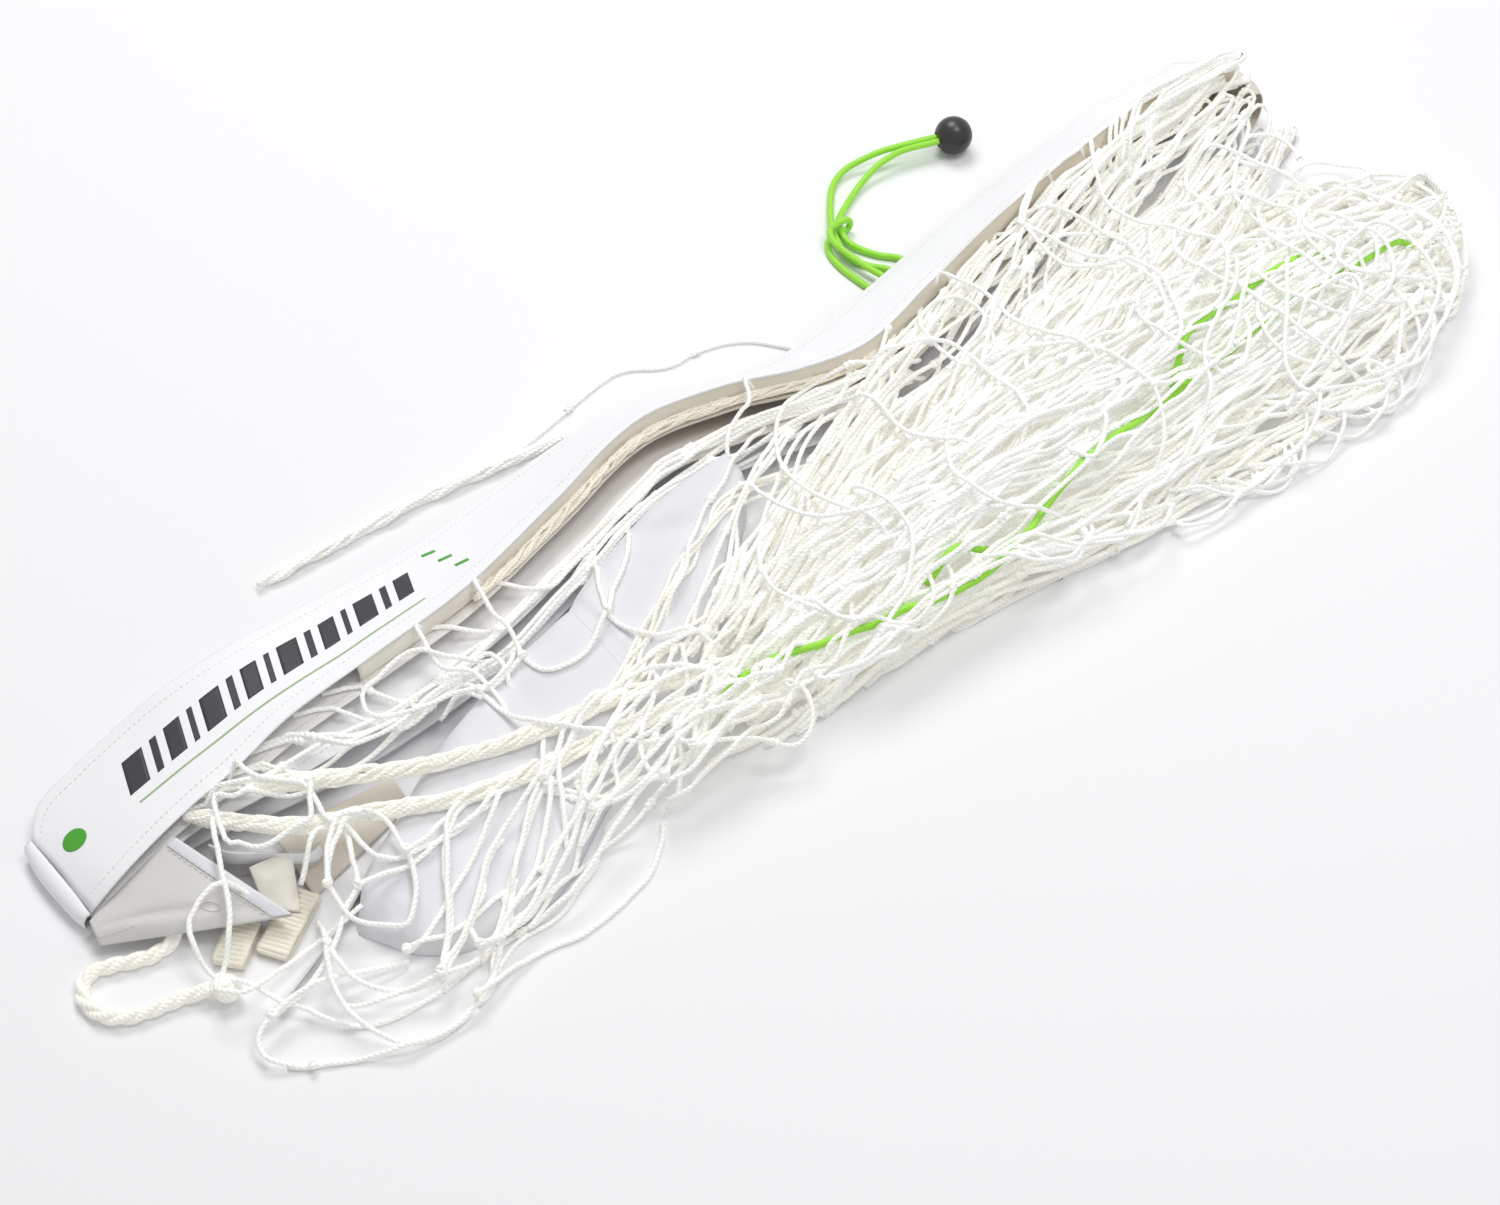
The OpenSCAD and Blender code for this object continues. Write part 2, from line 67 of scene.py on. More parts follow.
# ---- Materials
# Threads of the weave lie 0.5 mm apart, and are drawn this far apart to show
THREAD_PITCH = 1.1 * MM
# Carriers of the elastic's braid cross this often along the cord, and wind round it this often
BRAID_PITCH, BRAID_TURNS = 2.2 * MM, 6.0


def linear(hex_colour):
    """Linear colour of an sRGB hex value."""
    parts = [int(hex_colour[i:i + 2], 16) / 255 for i in (1, 3, 5)]
    return [c / 12.92 if c <= 0.04045 else ((c + 0.055) / 1.055) ** 2.4 for c in parts] + [1]


def node(tree, kind, inputs=None, **settings):
    """One shader node with its settings, and its inputs as values or links."""
    made = tree.nodes.new(kind)
    for key, value in settings.items():
        setattr(made, key, value)
    for socket, value in (inputs or {}).items():
        if isinstance(value, bpy.types.NodeSocket):
            tree.links.new(value, made.inputs[socket])
        else:
            made.inputs[socket].default_value = value
    return made


def material(name, **constants):
    """A material with a Principled shader whose constants are set on its own sockets."""
    made = bpy.data.materials.new(name)
    made.use_nodes = True
    shader = made.node_tree.nodes["Principled BSDF"]
    for socket, value in constants.items():
        shader.inputs[socket.replace("_", " ")].default_value = value
    return made, made.node_tree, shader


def drifting(tree, shader, per_metre, low, high):
    """Base colour that drifts between two hex values, so many patches a metre. Returns Object coordinates."""
    coords = node(tree, "ShaderNodeTexCoord").outputs["Object"]
    drift = node(tree, "ShaderNodeTexNoise", {"Vector": coords, "Scale": per_metre, "Detail": 3.0})
    mix = node(tree, "ShaderNodeMix", {"Factor": drift.outputs["Fac"], 6: linear(low), 7: linear(high)},
               data_type="RGBA")
    tree.links.new(mix.outputs[2], shader.inputs["Base Color"])
    return coords


def weave_height(tree, pitch, across=1.0):
    """Over and under of a plain weave along the piece's own cut, threads pitch metres apart."""
    cut = node(tree, "ShaderNodeSeparateXYZ", {0: node(tree, "ShaderNodeUVMap", uv_map="cut").outputs[0]})
    waves = []
    for axis, share in (("X", 1.0), ("Y", across)):
        turn = node(tree, "ShaderNodeMath", {0: cut.outputs[axis], 1: math.pi / (pitch * share)},
                    operation="MULTIPLY")
        waves.append(node(tree, "ShaderNodeMath", {0: turn.outputs[0]}, operation="SINE"))
    return node(tree, "ShaderNodeMath", {0: waves[0].outputs[0], 1: waves[1].outputs[0]},
                operation="MULTIPLY").outputs[0]


def coated_oxford(name, low, high, roughness):
    """Polyester oxford with a thin coating: matt, cool white, fine plain weave, faint creases."""
    made, tree, shader = material(name, Roughness=roughness, IOR=1.5, Sheen_Weight=0.12,
                                  Sheen_Roughness=0.5)
    coords = drifting(tree, shader, 14.0, low, high)
    weave = node(tree, "ShaderNodeBump", {"Height": weave_height(tree, THREAD_PITCH), "Strength": 0.35,
                                          "Distance": 0.06 * MM})
    # Soft creases from being folded, about 40 mm apart
    crease = node(tree, "ShaderNodeTexNoise", {"Vector": coords, "Scale": 24.0, "Detail": 4.0,
                                               "Roughness": 0.62})
    bump = node(tree, "ShaderNodeBump", {"Height": crease.outputs["Fac"], "Strength": 0.5,
                                         "Distance": 1.6 * MM, "Normal": weave.outputs[0]})
    tree.links.new(bump.outputs[0], shader.inputs["Normal"])
    return made


def twisted_twine(name, low, high, lay):
    """Three-ply twisted nylon twine: creamy white, soft shine, a ply ridge every third of its lay.

    A faint glow of the twine's own colour is painted light: it lifts the shade where strands shade each other,
    standing in for light that soaks through the clear filaments.
    """
    made, tree, shader = material(name, Roughness=0.5, IOR=1.53, Sheen_Weight=0.2,
                                  Sheen_Roughness=0.4, Emission_Color=linear(high), Emission_Strength=0.15)
    run = node(tree, "ShaderNodeSeparateXYZ", {0: node(tree, "ShaderNodeUVMap", uv_map="cut").outputs[0]})
    along = node(tree, "ShaderNodeMath", {0: run.outputs["X"], 1: 1 / lay}, operation="MULTIPLY")
    turns = node(tree, "ShaderNodeMath", {0: along.outputs[0], 1: run.outputs["Y"]}, operation="ADD")
    phase = node(tree, "ShaderNodeMath", {0: turns.outputs[0], 1: 6 * math.pi}, operation="MULTIPLY")
    ply = node(tree, "ShaderNodeMath", {0: phase.outputs[0]}, operation="SINE")
    tint = node(tree, "ShaderNodeAttribute", attribute_name="tint")
    mix = node(tree, "ShaderNodeMix", {"Factor": tint.outputs["Fac"], 6: linear(low), 7: linear(high)},
               data_type="RGBA")
    # Painted shade: the grooves between the plies are a little darker
    groove = node(tree, "ShaderNodeMapRange", {"Value": ply.outputs[0], "From Min": -1.0, "From Max": -0.2,
                                               "To Min": 0.95, "To Max": 1.0})
    shade = node(tree, "ShaderNodeVectorMath", {0: mix.outputs[2], "Scale": groove.outputs[0]},
                 operation="SCALE")
    tree.links.new(shade.outputs[0], shader.inputs["Base Color"])
    bump = node(tree, "ShaderNodeBump", {"Height": ply.outputs[0], "Strength": 0.65, "Distance": 0.26 * MM})
    tree.links.new(bump.outputs[0], shader.inputs["Normal"])
    return made


def shade_tinted_cloth(name, right, left):
    """Uncoated side of the cloth: pale at its left, and tan towards the right end of the sleeve, which is
    painted shade.
    """
    made = coated_oxford(name, right, left, 0.75)
    tree = made.node_tree
    place = node(tree, "ShaderNodeSeparateXYZ", {0: node(tree, "ShaderNodeTexCoord").outputs["Object"]})
    # Painted shade: the colour turns tan towards the right end, where these runs lie in shade
    painted_shade_ramp = node(tree, "ShaderNodeMapRange", {"Value": place.outputs["X"], "From Min": -0.3, "From Max": 0.35,
                                             "To Min": 1.0, "To Max": 0.0})
    tree.links.new(painted_shade_ramp.outputs[0], next(n for n in tree.nodes if n.type == "MIX").inputs["Factor"])
    return made


def braided_elastic():
    """Shock cord in a woven polyester cover: bright lime, fine braid, soft shine."""
    made, tree, shader = material("braided_lime_elastic", Roughness=0.42, IOR=1.5, Sheen_Weight=0.25,
                                  Sheen_Roughness=0.35)
    run = node(tree, "ShaderNodeSeparateXYZ", {0: node(tree, "ShaderNodeUVMap", uv_map="cut").outputs[0]})
    waves = []
    for way in (1, -1):
        turn = node(tree, "ShaderNodeMath", {0: run.outputs["Y"], 1: way * BRAID_TURNS}, operation="MULTIPLY")
        along = node(tree, "ShaderNodeMath", {0: run.outputs["X"], 1: 1 / BRAID_PITCH, 2: turn.outputs[0]},
                     operation="MULTIPLY_ADD")
        phase = node(tree, "ShaderNodeMath", {0: along.outputs[0], 1: 2 * math.pi}, operation="MULTIPLY")
        waves.append(node(tree, "ShaderNodeMath", {0: phase.outputs[0]}, operation="SINE"))
    braid = node(tree, "ShaderNodeMath", {0: waves[0].outputs[0], 1: waves[1].outputs[0]},
                 operation="MAXIMUM")
    mix = node(tree, "ShaderNodeMix", {"Factor": braid.outputs[0], 6: linear("#8edc24"),
                                       7: linear("#a8ea4c")}, data_type="RGBA")
    tree.links.new(mix.outputs[2], shader.inputs["Base Color"])
    bump = node(tree, "ShaderNodeBump", {"Height": braid.outputs[0], "Strength": 0.5, "Distance": 0.12 * MM})
    tree.links.new(bump.outputs[0], shader.inputs["Normal"])
    return made


def moulded_abs():
    """Satin black moulded ABS: a broad soft highlight, a faint orange-peel from the mould."""
    made, tree, shader = material("moulded_abs_satin_black", Roughness=0.33, IOR=1.54)
    coords = drifting(tree, shader, 90.0, "#19181b", "#232225")
    peel = node(tree, "ShaderNodeTexNoise", {"Vector": coords, "Scale": 900.0, "Detail": 2.0})
    bump = node(tree, "ShaderNodeBump", {"Height": peel.outputs["Fac"], "Strength": 0.25,
                                         "Distance": 0.05 * MM})
    tree.links.new(bump.outputs[0], shader.inputs["Normal"])
    return made


def screen_print(name, low, high):
    """Screen-printed ink on the weave: dense, a little satin, thinner over the thread tops."""
    made, tree, shader = material(name, Roughness=0.5, IOR=1.5)
    drifting(tree, shader, 160.0, low, high)
    bump = node(tree, "ShaderNodeBump", {"Height": weave_height(tree, THREAD_PITCH), "Strength": 0.3,
                                         "Distance": 0.05 * MM})
    tree.links.new(bump.outputs[0], shader.inputs["Normal"])
    return made


def ribbed_webbing():
    """Heavy ribbed polypropylene webbing: cream, glossy filaments, a grey line in each groove."""
    made, tree, shader = material("ribbed_polypropylene_webbing", Roughness=0.42, IOR=1.49,
                                  Sheen_Weight=0.2)
    drifting(tree, shader, 120.0, "#ece6d2", "#f7f3e6")
    bump = node(tree, "ShaderNodeBump", {"Height": weave_height(tree, 1.3 * MM, 0.6), "Strength": 0.6,
                                         "Distance": 0.15 * MM})
    tree.links.new(bump.outputs[0], shader.inputs["Normal"])
    return made


def clear_tape():
    """Thin milky polyurethane tape: grey-white, with a soft gloss."""
    made, tree, shader = material("milky_polyurethane_tape", Roughness=0.28, IOR=1.5, Coat_Weight=0.2)
    drifting(tree, shader, 60.0, "#c9c9c5", "#dcdcd8")
    return made


SLEEVE_CLOTH = coated_oxford("coated_polyester_oxford_white", "#f4f4f7", "#fafafd", 0.62)
# Painted shade: the panels, the lowest run and the hems are a greyer copy of the white sleeve cloth, darkened
# for their shaded faces
PANEL_CLOTH = coated_oxford("coated_polyester_oxford_panel", "#dfdfe4", "#e9e9ee", 0.6)
# Painted shade: a greige copy of the white cloth, used on the right fold, the end hem and the gap behind the
# front panel, where the cloth lies in shade
SHADED_LINING_CLOTH = coated_oxford("polyester_lining_greige_painted_shade", "#d9d0c4", "#e4ddd2", 0.75)
# Painted shade: the pocket and its flap are a greyer copy of the white cloth, darkened for their shaded faces
POCKET_CLOTH = coated_oxford("coated_polyester_pocket_painted_shade", "#d6d4d2", "#dedcda", 0.6)
NET_TWINE = twisted_twine("twisted_nylon_net_twine", "#f6f4e8", "#fcfcfa", 11 * MM)
ROPE_TWINE = twisted_twine("twisted_nylon_anchor_rope", "#f3f1e4", "#fbfaf4", 9 * MM)
HEAD_TWINE = twisted_twine("gathered_nylon_head_rope", "#f8f6ea", "#fcfbf4", 10 * MM)
LACE_TWINE = twisted_twine("gathered_nylon_lacing_beige", "#f3ecdb", "#faf6ea", 8 * MM)
# Painted shade: these cloths turn tan towards the right end of the sleeve, where they lie in shade
SHADED_RUN_LINING = shade_tinted_cloth("polyester_lining_run_painted_shade", "#d3c6b2", "#f3f1ef")
SHADED_THIRD_CLOTH = shade_tinted_cloth("polyester_oxford_third_run_painted_shade", "#d6cbba", "#f4f4f6")
SHADED_EDGE_LINING = shade_tinted_cloth("polyester_edge_lining_painted_shade", "#e2d8c6", "#f0ece2")
THREAD = twisted_twine("polyester_sewing_thread", "#e6e4de", "#eeece8", 1.6 * MM)
ELASTIC = braided_elastic()
INK_BLACK = screen_print("screen_print_black", "#242227", "#2e2c31")
INK_GREEN = screen_print("screen_print_green", "#3f9a22", "#4eaa30")
INK_GREY = screen_print("screen_print_grey_green", "#93b37c", "#a3c08c")
SCRIM = coated_oxford("woven_scrim_tape", "#e9e5da", "#f0ede5", 0.8)
WEBBING = ribbed_webbing()
TAPE = clear_tape()
BALL = moulded_abs()


# ---- Mesh helpers
def show(mesh, name, finish):
    """A smooth-shaded object of that mesh, riding on the bundle."""
    made = bpy.data.objects.new(name, mesh)
    scene.collection.objects.link(made)
    mesh.materials.append(finish)
    mesh.shade_smooth()
    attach(made, "bundle")
    return made


def dress(piece, slot, *node_names):
    """Hide the nodes that a piece stands for; slot is not used."""
    if node_names:
        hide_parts(*node_names)


def run_along(points):
    """Length along a route at each of its points."""
    return np.concatenate([[0], np.cumsum(np.linalg.norm(np.diff(points, axis=0), axis=1))])


def run_over(x, y):
    """Length along a route at each of its points, as seen from above."""
    return np.concatenate([[0], np.cumsum(np.hypot(np.diff(x), np.diff(y)))])


def axes_along(points):
    """Directions along, beside and above a route at each of its points."""
    along = np.gradient(points, axis=0)
    along /= np.maximum(np.linalg.norm(along, axis=1), 1e-9)[:, None]
    side = np.cross(along, (0, 0, 1.0))
    side /= np.maximum(np.linalg.norm(side, axis=1), 1e-6)[:, None]
    return along, side, np.cross(side, along)


def round_about(points, side, up, out, angle):
    """Points at a distance out from a route, at an angle from its side towards its top."""
    return points + out[..., None] * (np.cos(angle)[..., None] * side + np.sin(angle)[..., None] * up)


# A strand this steep goes over the upright: its rings keep their sides there, so that they aren't pinched
UPRIGHT = 0.7


def rings_of(points, radius, sides):
    """Rings of a round strand, with one of no width at each end to close it, and the length up to each."""
    along, side, up = axes_along(points)
    steep = np.abs(along[1:, 2] + along[:-1, 2]) > 2 * UPRIGHT
    over = np.where(steep & ((side[1:] * side[:-1]).sum(axis=1) < 0), -1, 1)
    keep = np.cumprod(np.concatenate([[1], over]))[:, None]
    order = np.r_[0, np.arange(len(points)), len(points) - 1]
    radius = np.broadcast_to(radius, len(points)).astype(float)[order]
    radius[[0, -1]] = 0
    turn = np.linspace(0, 2 * math.pi, sides + 1)
    rings = round_about(points[order, None], (side * keep)[order, None], (up * keep)[order, None],
                        radius[:, None], turn)
    return rings, run_along(points)[order]


def tubes(name, strands, finish, sides=6):
    """One mesh of round strands. A strand is (points in mm, radius or radii in mm, tint from 0 to 1)."""
    made = [rings_of(np.asarray(points, float), radius, sides) for points, radius, _ in strands]
    ring, length = (np.concatenate(parts) for parts in zip(*made))
    tint = np.concatenate([np.full(len(run), strand[2]) for (_, run), strand in zip(made, strands)])
    count = len(ring)
    bm = bmesh.new()
    bm.loops.layers.uv.new("cut")
    bmesh.ops.create_grid(bm, x_segments=count - 1, y_segments=sides, size=0.5)
    bm.faces.ensure_lookup_table()
    # Faces between the end of one strand and the start of the next go
    ends = np.cumsum([len(run) for _, run in made])[:-1] - 1
    gone = [bm.faces[int(row * (count - 1) + end)] for end in ends for row in range(sides)]
    bmesh.ops.delete(bm, geom=gone, context="FACES_ONLY")
    mesh = bpy.data.meshes.new(name)
    bm.to_mesh(mesh)
    bm.free()
    mesh.vertices.foreach_set("co", metres(np.swapaxes(ring, 0, 1).reshape(-1, 3)).ravel())
    corner = np.zeros(len(mesh.loops), int)
    mesh.loops.foreach_get("vertex_index", corner)
    uv = np.stack([length[corner % count] * MM, (corner // count) / sides], axis=1)
    mesh.uv_layers["cut"].data.foreach_set("uv", uv.ravel())
    mesh.attributes.new("tint", "FLOAT", "POINT").data.foreach_set("value", np.tile(tint, sides + 1))
    mesh.update()
    bm = bmesh.new()
    bm.from_mesh(mesh)
    bmesh.ops.remove_doubles(bm, verts=bm.verts, dist=1e-7)
    bmesh.ops.reverse_faces(bm, faces=bm.faces)
    bm.to_mesh(mesh)
    bm.free()
    return show(mesh, name, finish)


def cloth(name, cut, cells, place, thick, finish, closed=False):
    """A sheet cut to (length, width) in metres. place(a, b) is in mm, for shares a and b of the cut."""
    bm = bmesh.new()
    uv = bm.loops.layers.uv.new("cut")
    bmesh.ops.create_grid(bm, x_segments=cells[0], y_segments=cells[1], size=0.5)
    for face in bm.faces:
        for loop in face.loops:
            loop[uv].uv = ((loop.vert.co.x + 0.5) * cut[0], (loop.vert.co.y + 0.5) * cut[1])
    for vert in bm.verts:
        vert.co = Vector(metres(place(vert.co.x + 0.5, vert.co.y + 0.5)))
    if closed:
        bmesh.ops.remove_doubles(bm, verts=bm.verts, dist=1e-6)
    mesh = bpy.data.meshes.new(name)
    bm.to_mesh(mesh)
    bm.free()
    made = show(mesh, name, finish)
    wall = made.modifiers.new("thickness", "SOLIDIFY")
    wall.thickness = thick * MM
    wall.offset = 0
    return made


def evenly(route, step):
    """The route in mm with points about step apart."""
    route = np.asarray(route, float)
    run = run_along(route)
    at = np.linspace(0, run[-1], max(2, math.ceil(run[-1] / step) + 1))
    return np.stack([np.interp(at, run, route[:, k]) for k in range(route.shape[1])], axis=1)


def rounded(route, times):
    """The route with each corner cut at its quarter points, its ends kept."""
    route = np.asarray(route, float)
    for _ in range(times):
        quarters = np.stack([route[:-1] * 0.75 + route[1:] * 0.25,
                             route[:-1] * 0.25 + route[1:] * 0.75], axis=1)
        route = np.concatenate([route[:1], quarters.reshape(-1, route.shape[1]), route[-1:]])
    return route


def curve_value(table, x, column):
    """Smooth value of a column of a table at x."""
    xs, ys = [row[0] for row in table], [row[column] for row in table]
    if x <= xs[0] or x >= xs[-1]:
        return ys[0] if x <= xs[0] else ys[-1]
    last = len(xs) - 1
    i = max(0, min(last - 1, int(np.searchsorted(xs, x)) - 1))
    slopes = []
    for j in (i, i + 1):
        before, after = max(j - 1, 0), min(j + 1, last)
        slopes.append((ys[after] - ys[before]) / (xs[after] - xs[before]))
    h = xs[i + 1] - xs[i]
    t = (x - xs[i]) / h
    return ((2 * t ** 3 - 3 * t ** 2 + 1) * ys[i] + (t ** 3 - 2 * t ** 2 + t) * h * slopes[0]
            + (3 * t ** 2 - 2 * t ** 3) * ys[i + 1] + (t ** 3 - t ** 2) * h * slopes[1])


def sway(*at):
    """Smooth noise from -1 to 1."""
    return noise.noise(Vector(at + (0.37,) * (3 - len(at))))


# ---- Sizes of the frame, in mm
# Course of the sleeve: x, front edge y, back edge y, front top z, back top z, step share
COURSE = [
    (-512, 20, 88, 17, 15, 0.0), (-496, 19.5, 107, 29, 18, 0.0), (-469, 23, 112, 38, 25, 0.0),
    (-431, 29, 116, 44, 34, 0.1), (-398, 33, 117, 47, 42, 0.4), (-355, 42, 116, 50, 46, 0.8),
    (-290, 48, 119, 51, 38, 1.0), (-216, 54, 123, 53, 28, 1.0), (-128, 74, 138, 56, 18, 1.0),
    (-45, 94, 146, 58, 14, 1.0), (20, 80, 134, 60, 12, 0.9), (65, 60, 116, 61, 12, 0.7),
    (115, 48, 112, 63, 16, 0.6), (182, 62, 124, 64, 14, 0.6), (266, 82, 140, 64, 13, 0.6),
    (378, 98, 156, 64, 13, 0.6), (446, 104, 162, 62, 13, 0.5), (525, 98, 160, 52, 13, 0.5)]
FRONT_Y, BACK_Y, FRONT_Z, BACK_Z, STEP_SHARE = range(1, 6)
COURSE_X0, COURSE_X1 = COURSE[0][0], COURSE[-1][0]
# Gap between one run and the next at the back
RUN_GAP = 0.8
# Runs from the floor up: thickness at the front, step towards the net, underside at the front
RUNS = [("base_run", 12, 40, 0.0), ("third_run", 14, 30, 12.8), ("second_run", 9, 8, 27.6),
        ("printed_run", 8, 0, 44.0)]
BASE, THIRD, SECOND, PRINTED = range(4)
BASE_STEP = RUNS[BASE][2]
# Front height of the stack for which the runs' thicknesses and undersides are written
FRONT_SUM = 52.0
# Thickness and width of the sleeve's hems, and thickness of one layer of cloth
HEM_T, HEM_W = 2.4, 9.0
CLOTH_T = 0.6
ELASTIC_D = 4.8
ROPE_D = 10.0
BALL_AT = np.array([340.0, 204.0, 14.0])
TIE_DIR = np.array([math.cos(math.radians(160)), math.sin(math.radians(160)), 0])
TIE_SIDE = np.array([-TIE_DIR[1], TIE_DIR[0], 0])
# Half the distance between the two strands in the ball's bore
PAIR_OFFSET = 2.45


def on_course(x, column):
    """Straight-line value of a column of the course, as the frame has it."""
    return np.interp(x, [row[0] for row in COURSE], [row[column] for row in COURSE])


def edge_front(x):
    """Front edge of the printed run."""
    return on_course(x, FRONT_Y)


def stack_front(x):
    """Front edge of the lowest run."""
    return on_course(x, FRONT_Y) - BASE_STEP * on_course(x, STEP_SHARE)


# ---- Cords, made first
def seam(x, z, out=0.0):
    """Point where a leg of the tie meets the back edge of the sleeve."""
    return [x, on_course(x, BACK_Y) + 0.3 + out, z]


def tie_start(side):
    """The doubled part of the tie, straight from the seat in the ball outwards."""
    return [list(BALL_AT + along * TIE_DIR + side * PAIR_OFFSET * TIE_SIDE) for along in (-4.1, 21, 42)]


OUTER_ROUTE = rounded(tie_start(-1) + [
    [288, 226.5, 12.5], [274, 231.5, 9], [258, 234.5, 5.5], [243, 229, 3.2], [230, 216, 3.2],
    [217.5, 201.5, 5], [209.3, 190, 7.7], [204, 178, 6], [200.5, 163, 3.2], [208, 147, 2.6],
    [215, 139, 2.6], seam(217, 2.5, 3), seam(217, 2.5)], 2)
INNER_ROUTE = rounded(tie_start(1) + [
    [288, 217.5, 12.5], [276, 218.5, 9.5], [258, 215, 5.2], [240, 207.5, 3.4], [222, 197.5, 5],
    [214.1, 188.3, 7.7], [210, 174, 4], [219, 153, 2.6], [229, 142, 2.6], seam(231, 2.5, 3),
    seam(231, 2.5)], 2)
HITCH_ROUTE = rounded([
    seam(204, 8.4), seam(204, 8.4, 3), [202, 140, 8.4], [200, 158, 9], [197, 174, 12], [201, 185, 13.6],
    [210, 187.5, 14.2], [221, 186.5, 13.2], [223.6, 186, 7.7], [221, 186.5, 2.5], [209, 187.5, 2.5],
    [201, 186, 2.5], [194, 176, 2.5], [191, 160, 2.5], [192, 140, 2.6], seam(193, 2.5, 3), seam(193, 2.5)], 2)
# The hitch wraps round both legs of the tie past this x
HITCH_TURN_X = 204
ANCHOR_ROUTE = rounded(np.array([
    [-478, -17, 0], [-489, -21.6, 0], [-500, -21, 0], [-515, -14, 0], [-530, -7, 0], [-541, -11, 0],
    [-546, -25, 0], [-541, -41, 0], [-527, -50, 0], [-510, -54, 0], [-499, -57, 0], [-490, -61.6, 2],
    [-485.6, -63.8, 3.5]]) + [0, 0, ROPE_D / 2 + 0.1], 2)


def elastic(name, points, proud=0.0, sides=16):
    """A length of round elastic along points in mm."""
    return tubes(name, [(points, ELASTIC_D / 2 + proud, 0.5)], ELASTIC, sides)


def laid_rope(route, width, plies, lay_length, ply_d, loose):
    """A rope of several plies twisted round its route in mm: its strands, and the route's points."""
    points = evenly(route, 2.0)
    _, side, up = axes_along(points)
    run = np.arange(len(points)) * 2.0
    dice = np.random.default_rng(1)
    strands = []
    for k in range(plies):
        wander = np.array([sway(r / 26.0, k * 3.1, 1) for r in run]) * loose
        angle = 2 * math.pi * (k / plies + run / lay_length) + wander * 2.0
        out = (width - ply_d) / 2 * (1 - np.abs(wander) * 0.5)
        tint = float(np.clip(0.6 + 0.3 * (dice.random() - 0.5), 0, 1))
        strands.append((round_about(points, side, up, out, angle), ply_d / 2, tint))
    return strands, points


def wound_knot(at, size, twine_d, turns, squash=1.0, axis=(1, 0, 0), seed=3):
    """A knot: one strand wound round itself in crossing turns, at a point in mm."""
    axis = Vector(axis).normalized()
    other = axis.cross(Vector((0, 0, 1))).normalized()
    third = axis.cross(other)
    dots = []
    for i in range(turns * 22 + 1):
        t = i / 22 * 2 * math.pi
        tilt = t * 0.381 + seed
        ball = Vector((math.cos(t), math.sin(t) * math.cos(tilt), math.sin(t) * math.sin(tilt)))
        spot = axis * ball.x * squash + other * ball.y + third * ball.z
        dots.append(list(np.array(at) + np.array(spot) * (size - twine_d) / 2))
    return rounded(dots, 1), twine_d / 2, 0.6


def declare(points):
    """Points of a free cord in mm, from where it leaves the object, turned to metres; nothing more is done with
    them.
    """
    path = metres(points)


outer_points, inner_points, hitch_points = (evenly(r, 2.0) for r in (OUTER_ROUTE, INNER_ROUTE, HITCH_ROUTE))
first, last = np.flatnonzero(hitch_points[:, 0] > HITCH_TURN_X)[[0, -1]]
hitch_leg, hitch_home = hitch_points[:first + 1], hitch_points[last:]
tie_outer = elastic("tie_outer_leg", outer_points)
tie_inner = elastic("tie_inner_leg", inner_points)
hitch_turn = elastic("tie_hitch_turn", hitch_points[first - 1:last + 2], proud=0.05)
tie_hitch = elastic("tie_hitch_loop", hitch_leg)
hitch_return = elastic("tie_hitch_return", hitch_home[::-1])
anchor_strands, anchor_points = laid_rope(ANCHOR_ROUTE, ROPE_D, plies=3, lay_length=38, ply_d=4.9, loose=0.35)
anchor_rope = tubes("anchor_rope_loop", anchor_strands, ROPE_TWINE, sides=8)
end_turns = wound_knot(BALL_AT - 7.7 * TIE_DIR, 11.6, ELASTIC_D, turns=5, squash=0.32, axis=TIE_DIR)
end_knot = tubes("tie_end_knot_turns", [end_turns], ELASTIC, sides=10)
anchor_turns = wound_knot((-478, -70, 8.8), 17.2, 4.0, turns=12)
anchor_knot = tubes("anchor_rope_knot", [anchor_turns], ROPE_TWINE, sides=8)
for piece, slot, node_name in (
        (tie_outer, "elastic", "tie_cord_outer"), (tie_inner, "elastic", "tie_cord_inner"),
        (tie_hitch, "elastic", "tie_hitch"), (hitch_return, "elastic", "tie_hitch"),
        (hitch_turn, "elastic", "tie_hitch"), (anchor_rope, "twine", "anchor_rope")):
    dress(piece, slot, node_name)
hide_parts("tie_end_knot")
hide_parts("anchor_knot")
declare(outer_points[::-1])
declare(inner_points[::-1])
declare(hitch_leg)
declare(hitch_home[::-1])
declare(anchor_points)
ball = NODES["tie_ball"]
ball.data.materials.clear()
ball.data.materials.append(BALL)


# ---- Sleeves
def run_section(k, x):
    """Front y, front underside and top z, back y, back underside and top z of run k at x."""
    front, back, front_z, back_z, share = (curve_value(COURSE, x, column) for column in
                                           (FRONT_Y, BACK_Y, FRONT_Z, BACK_Z, STEP_SHARE))
    _, thick, step, under = RUNS[k]
    low, high = front_z * under / FRONT_SUM, front_z * (under + thick) / FRONT_SUM
    return front - step * share, low, high, back, back_z * k / 4, back_z * (k + 1) / 4 - RUN_GAP


def ease(w, pull=0.8):
    """A share across a cloth, drawn towards both of its edges, where the mesh needs more rows."""
    return w - pull * np.sin(2 * math.pi * w) / (2 * math.pi)


W_STEPS = np.linspace(0, 1, 201)
S_STEPS = ease(W_STEPS)


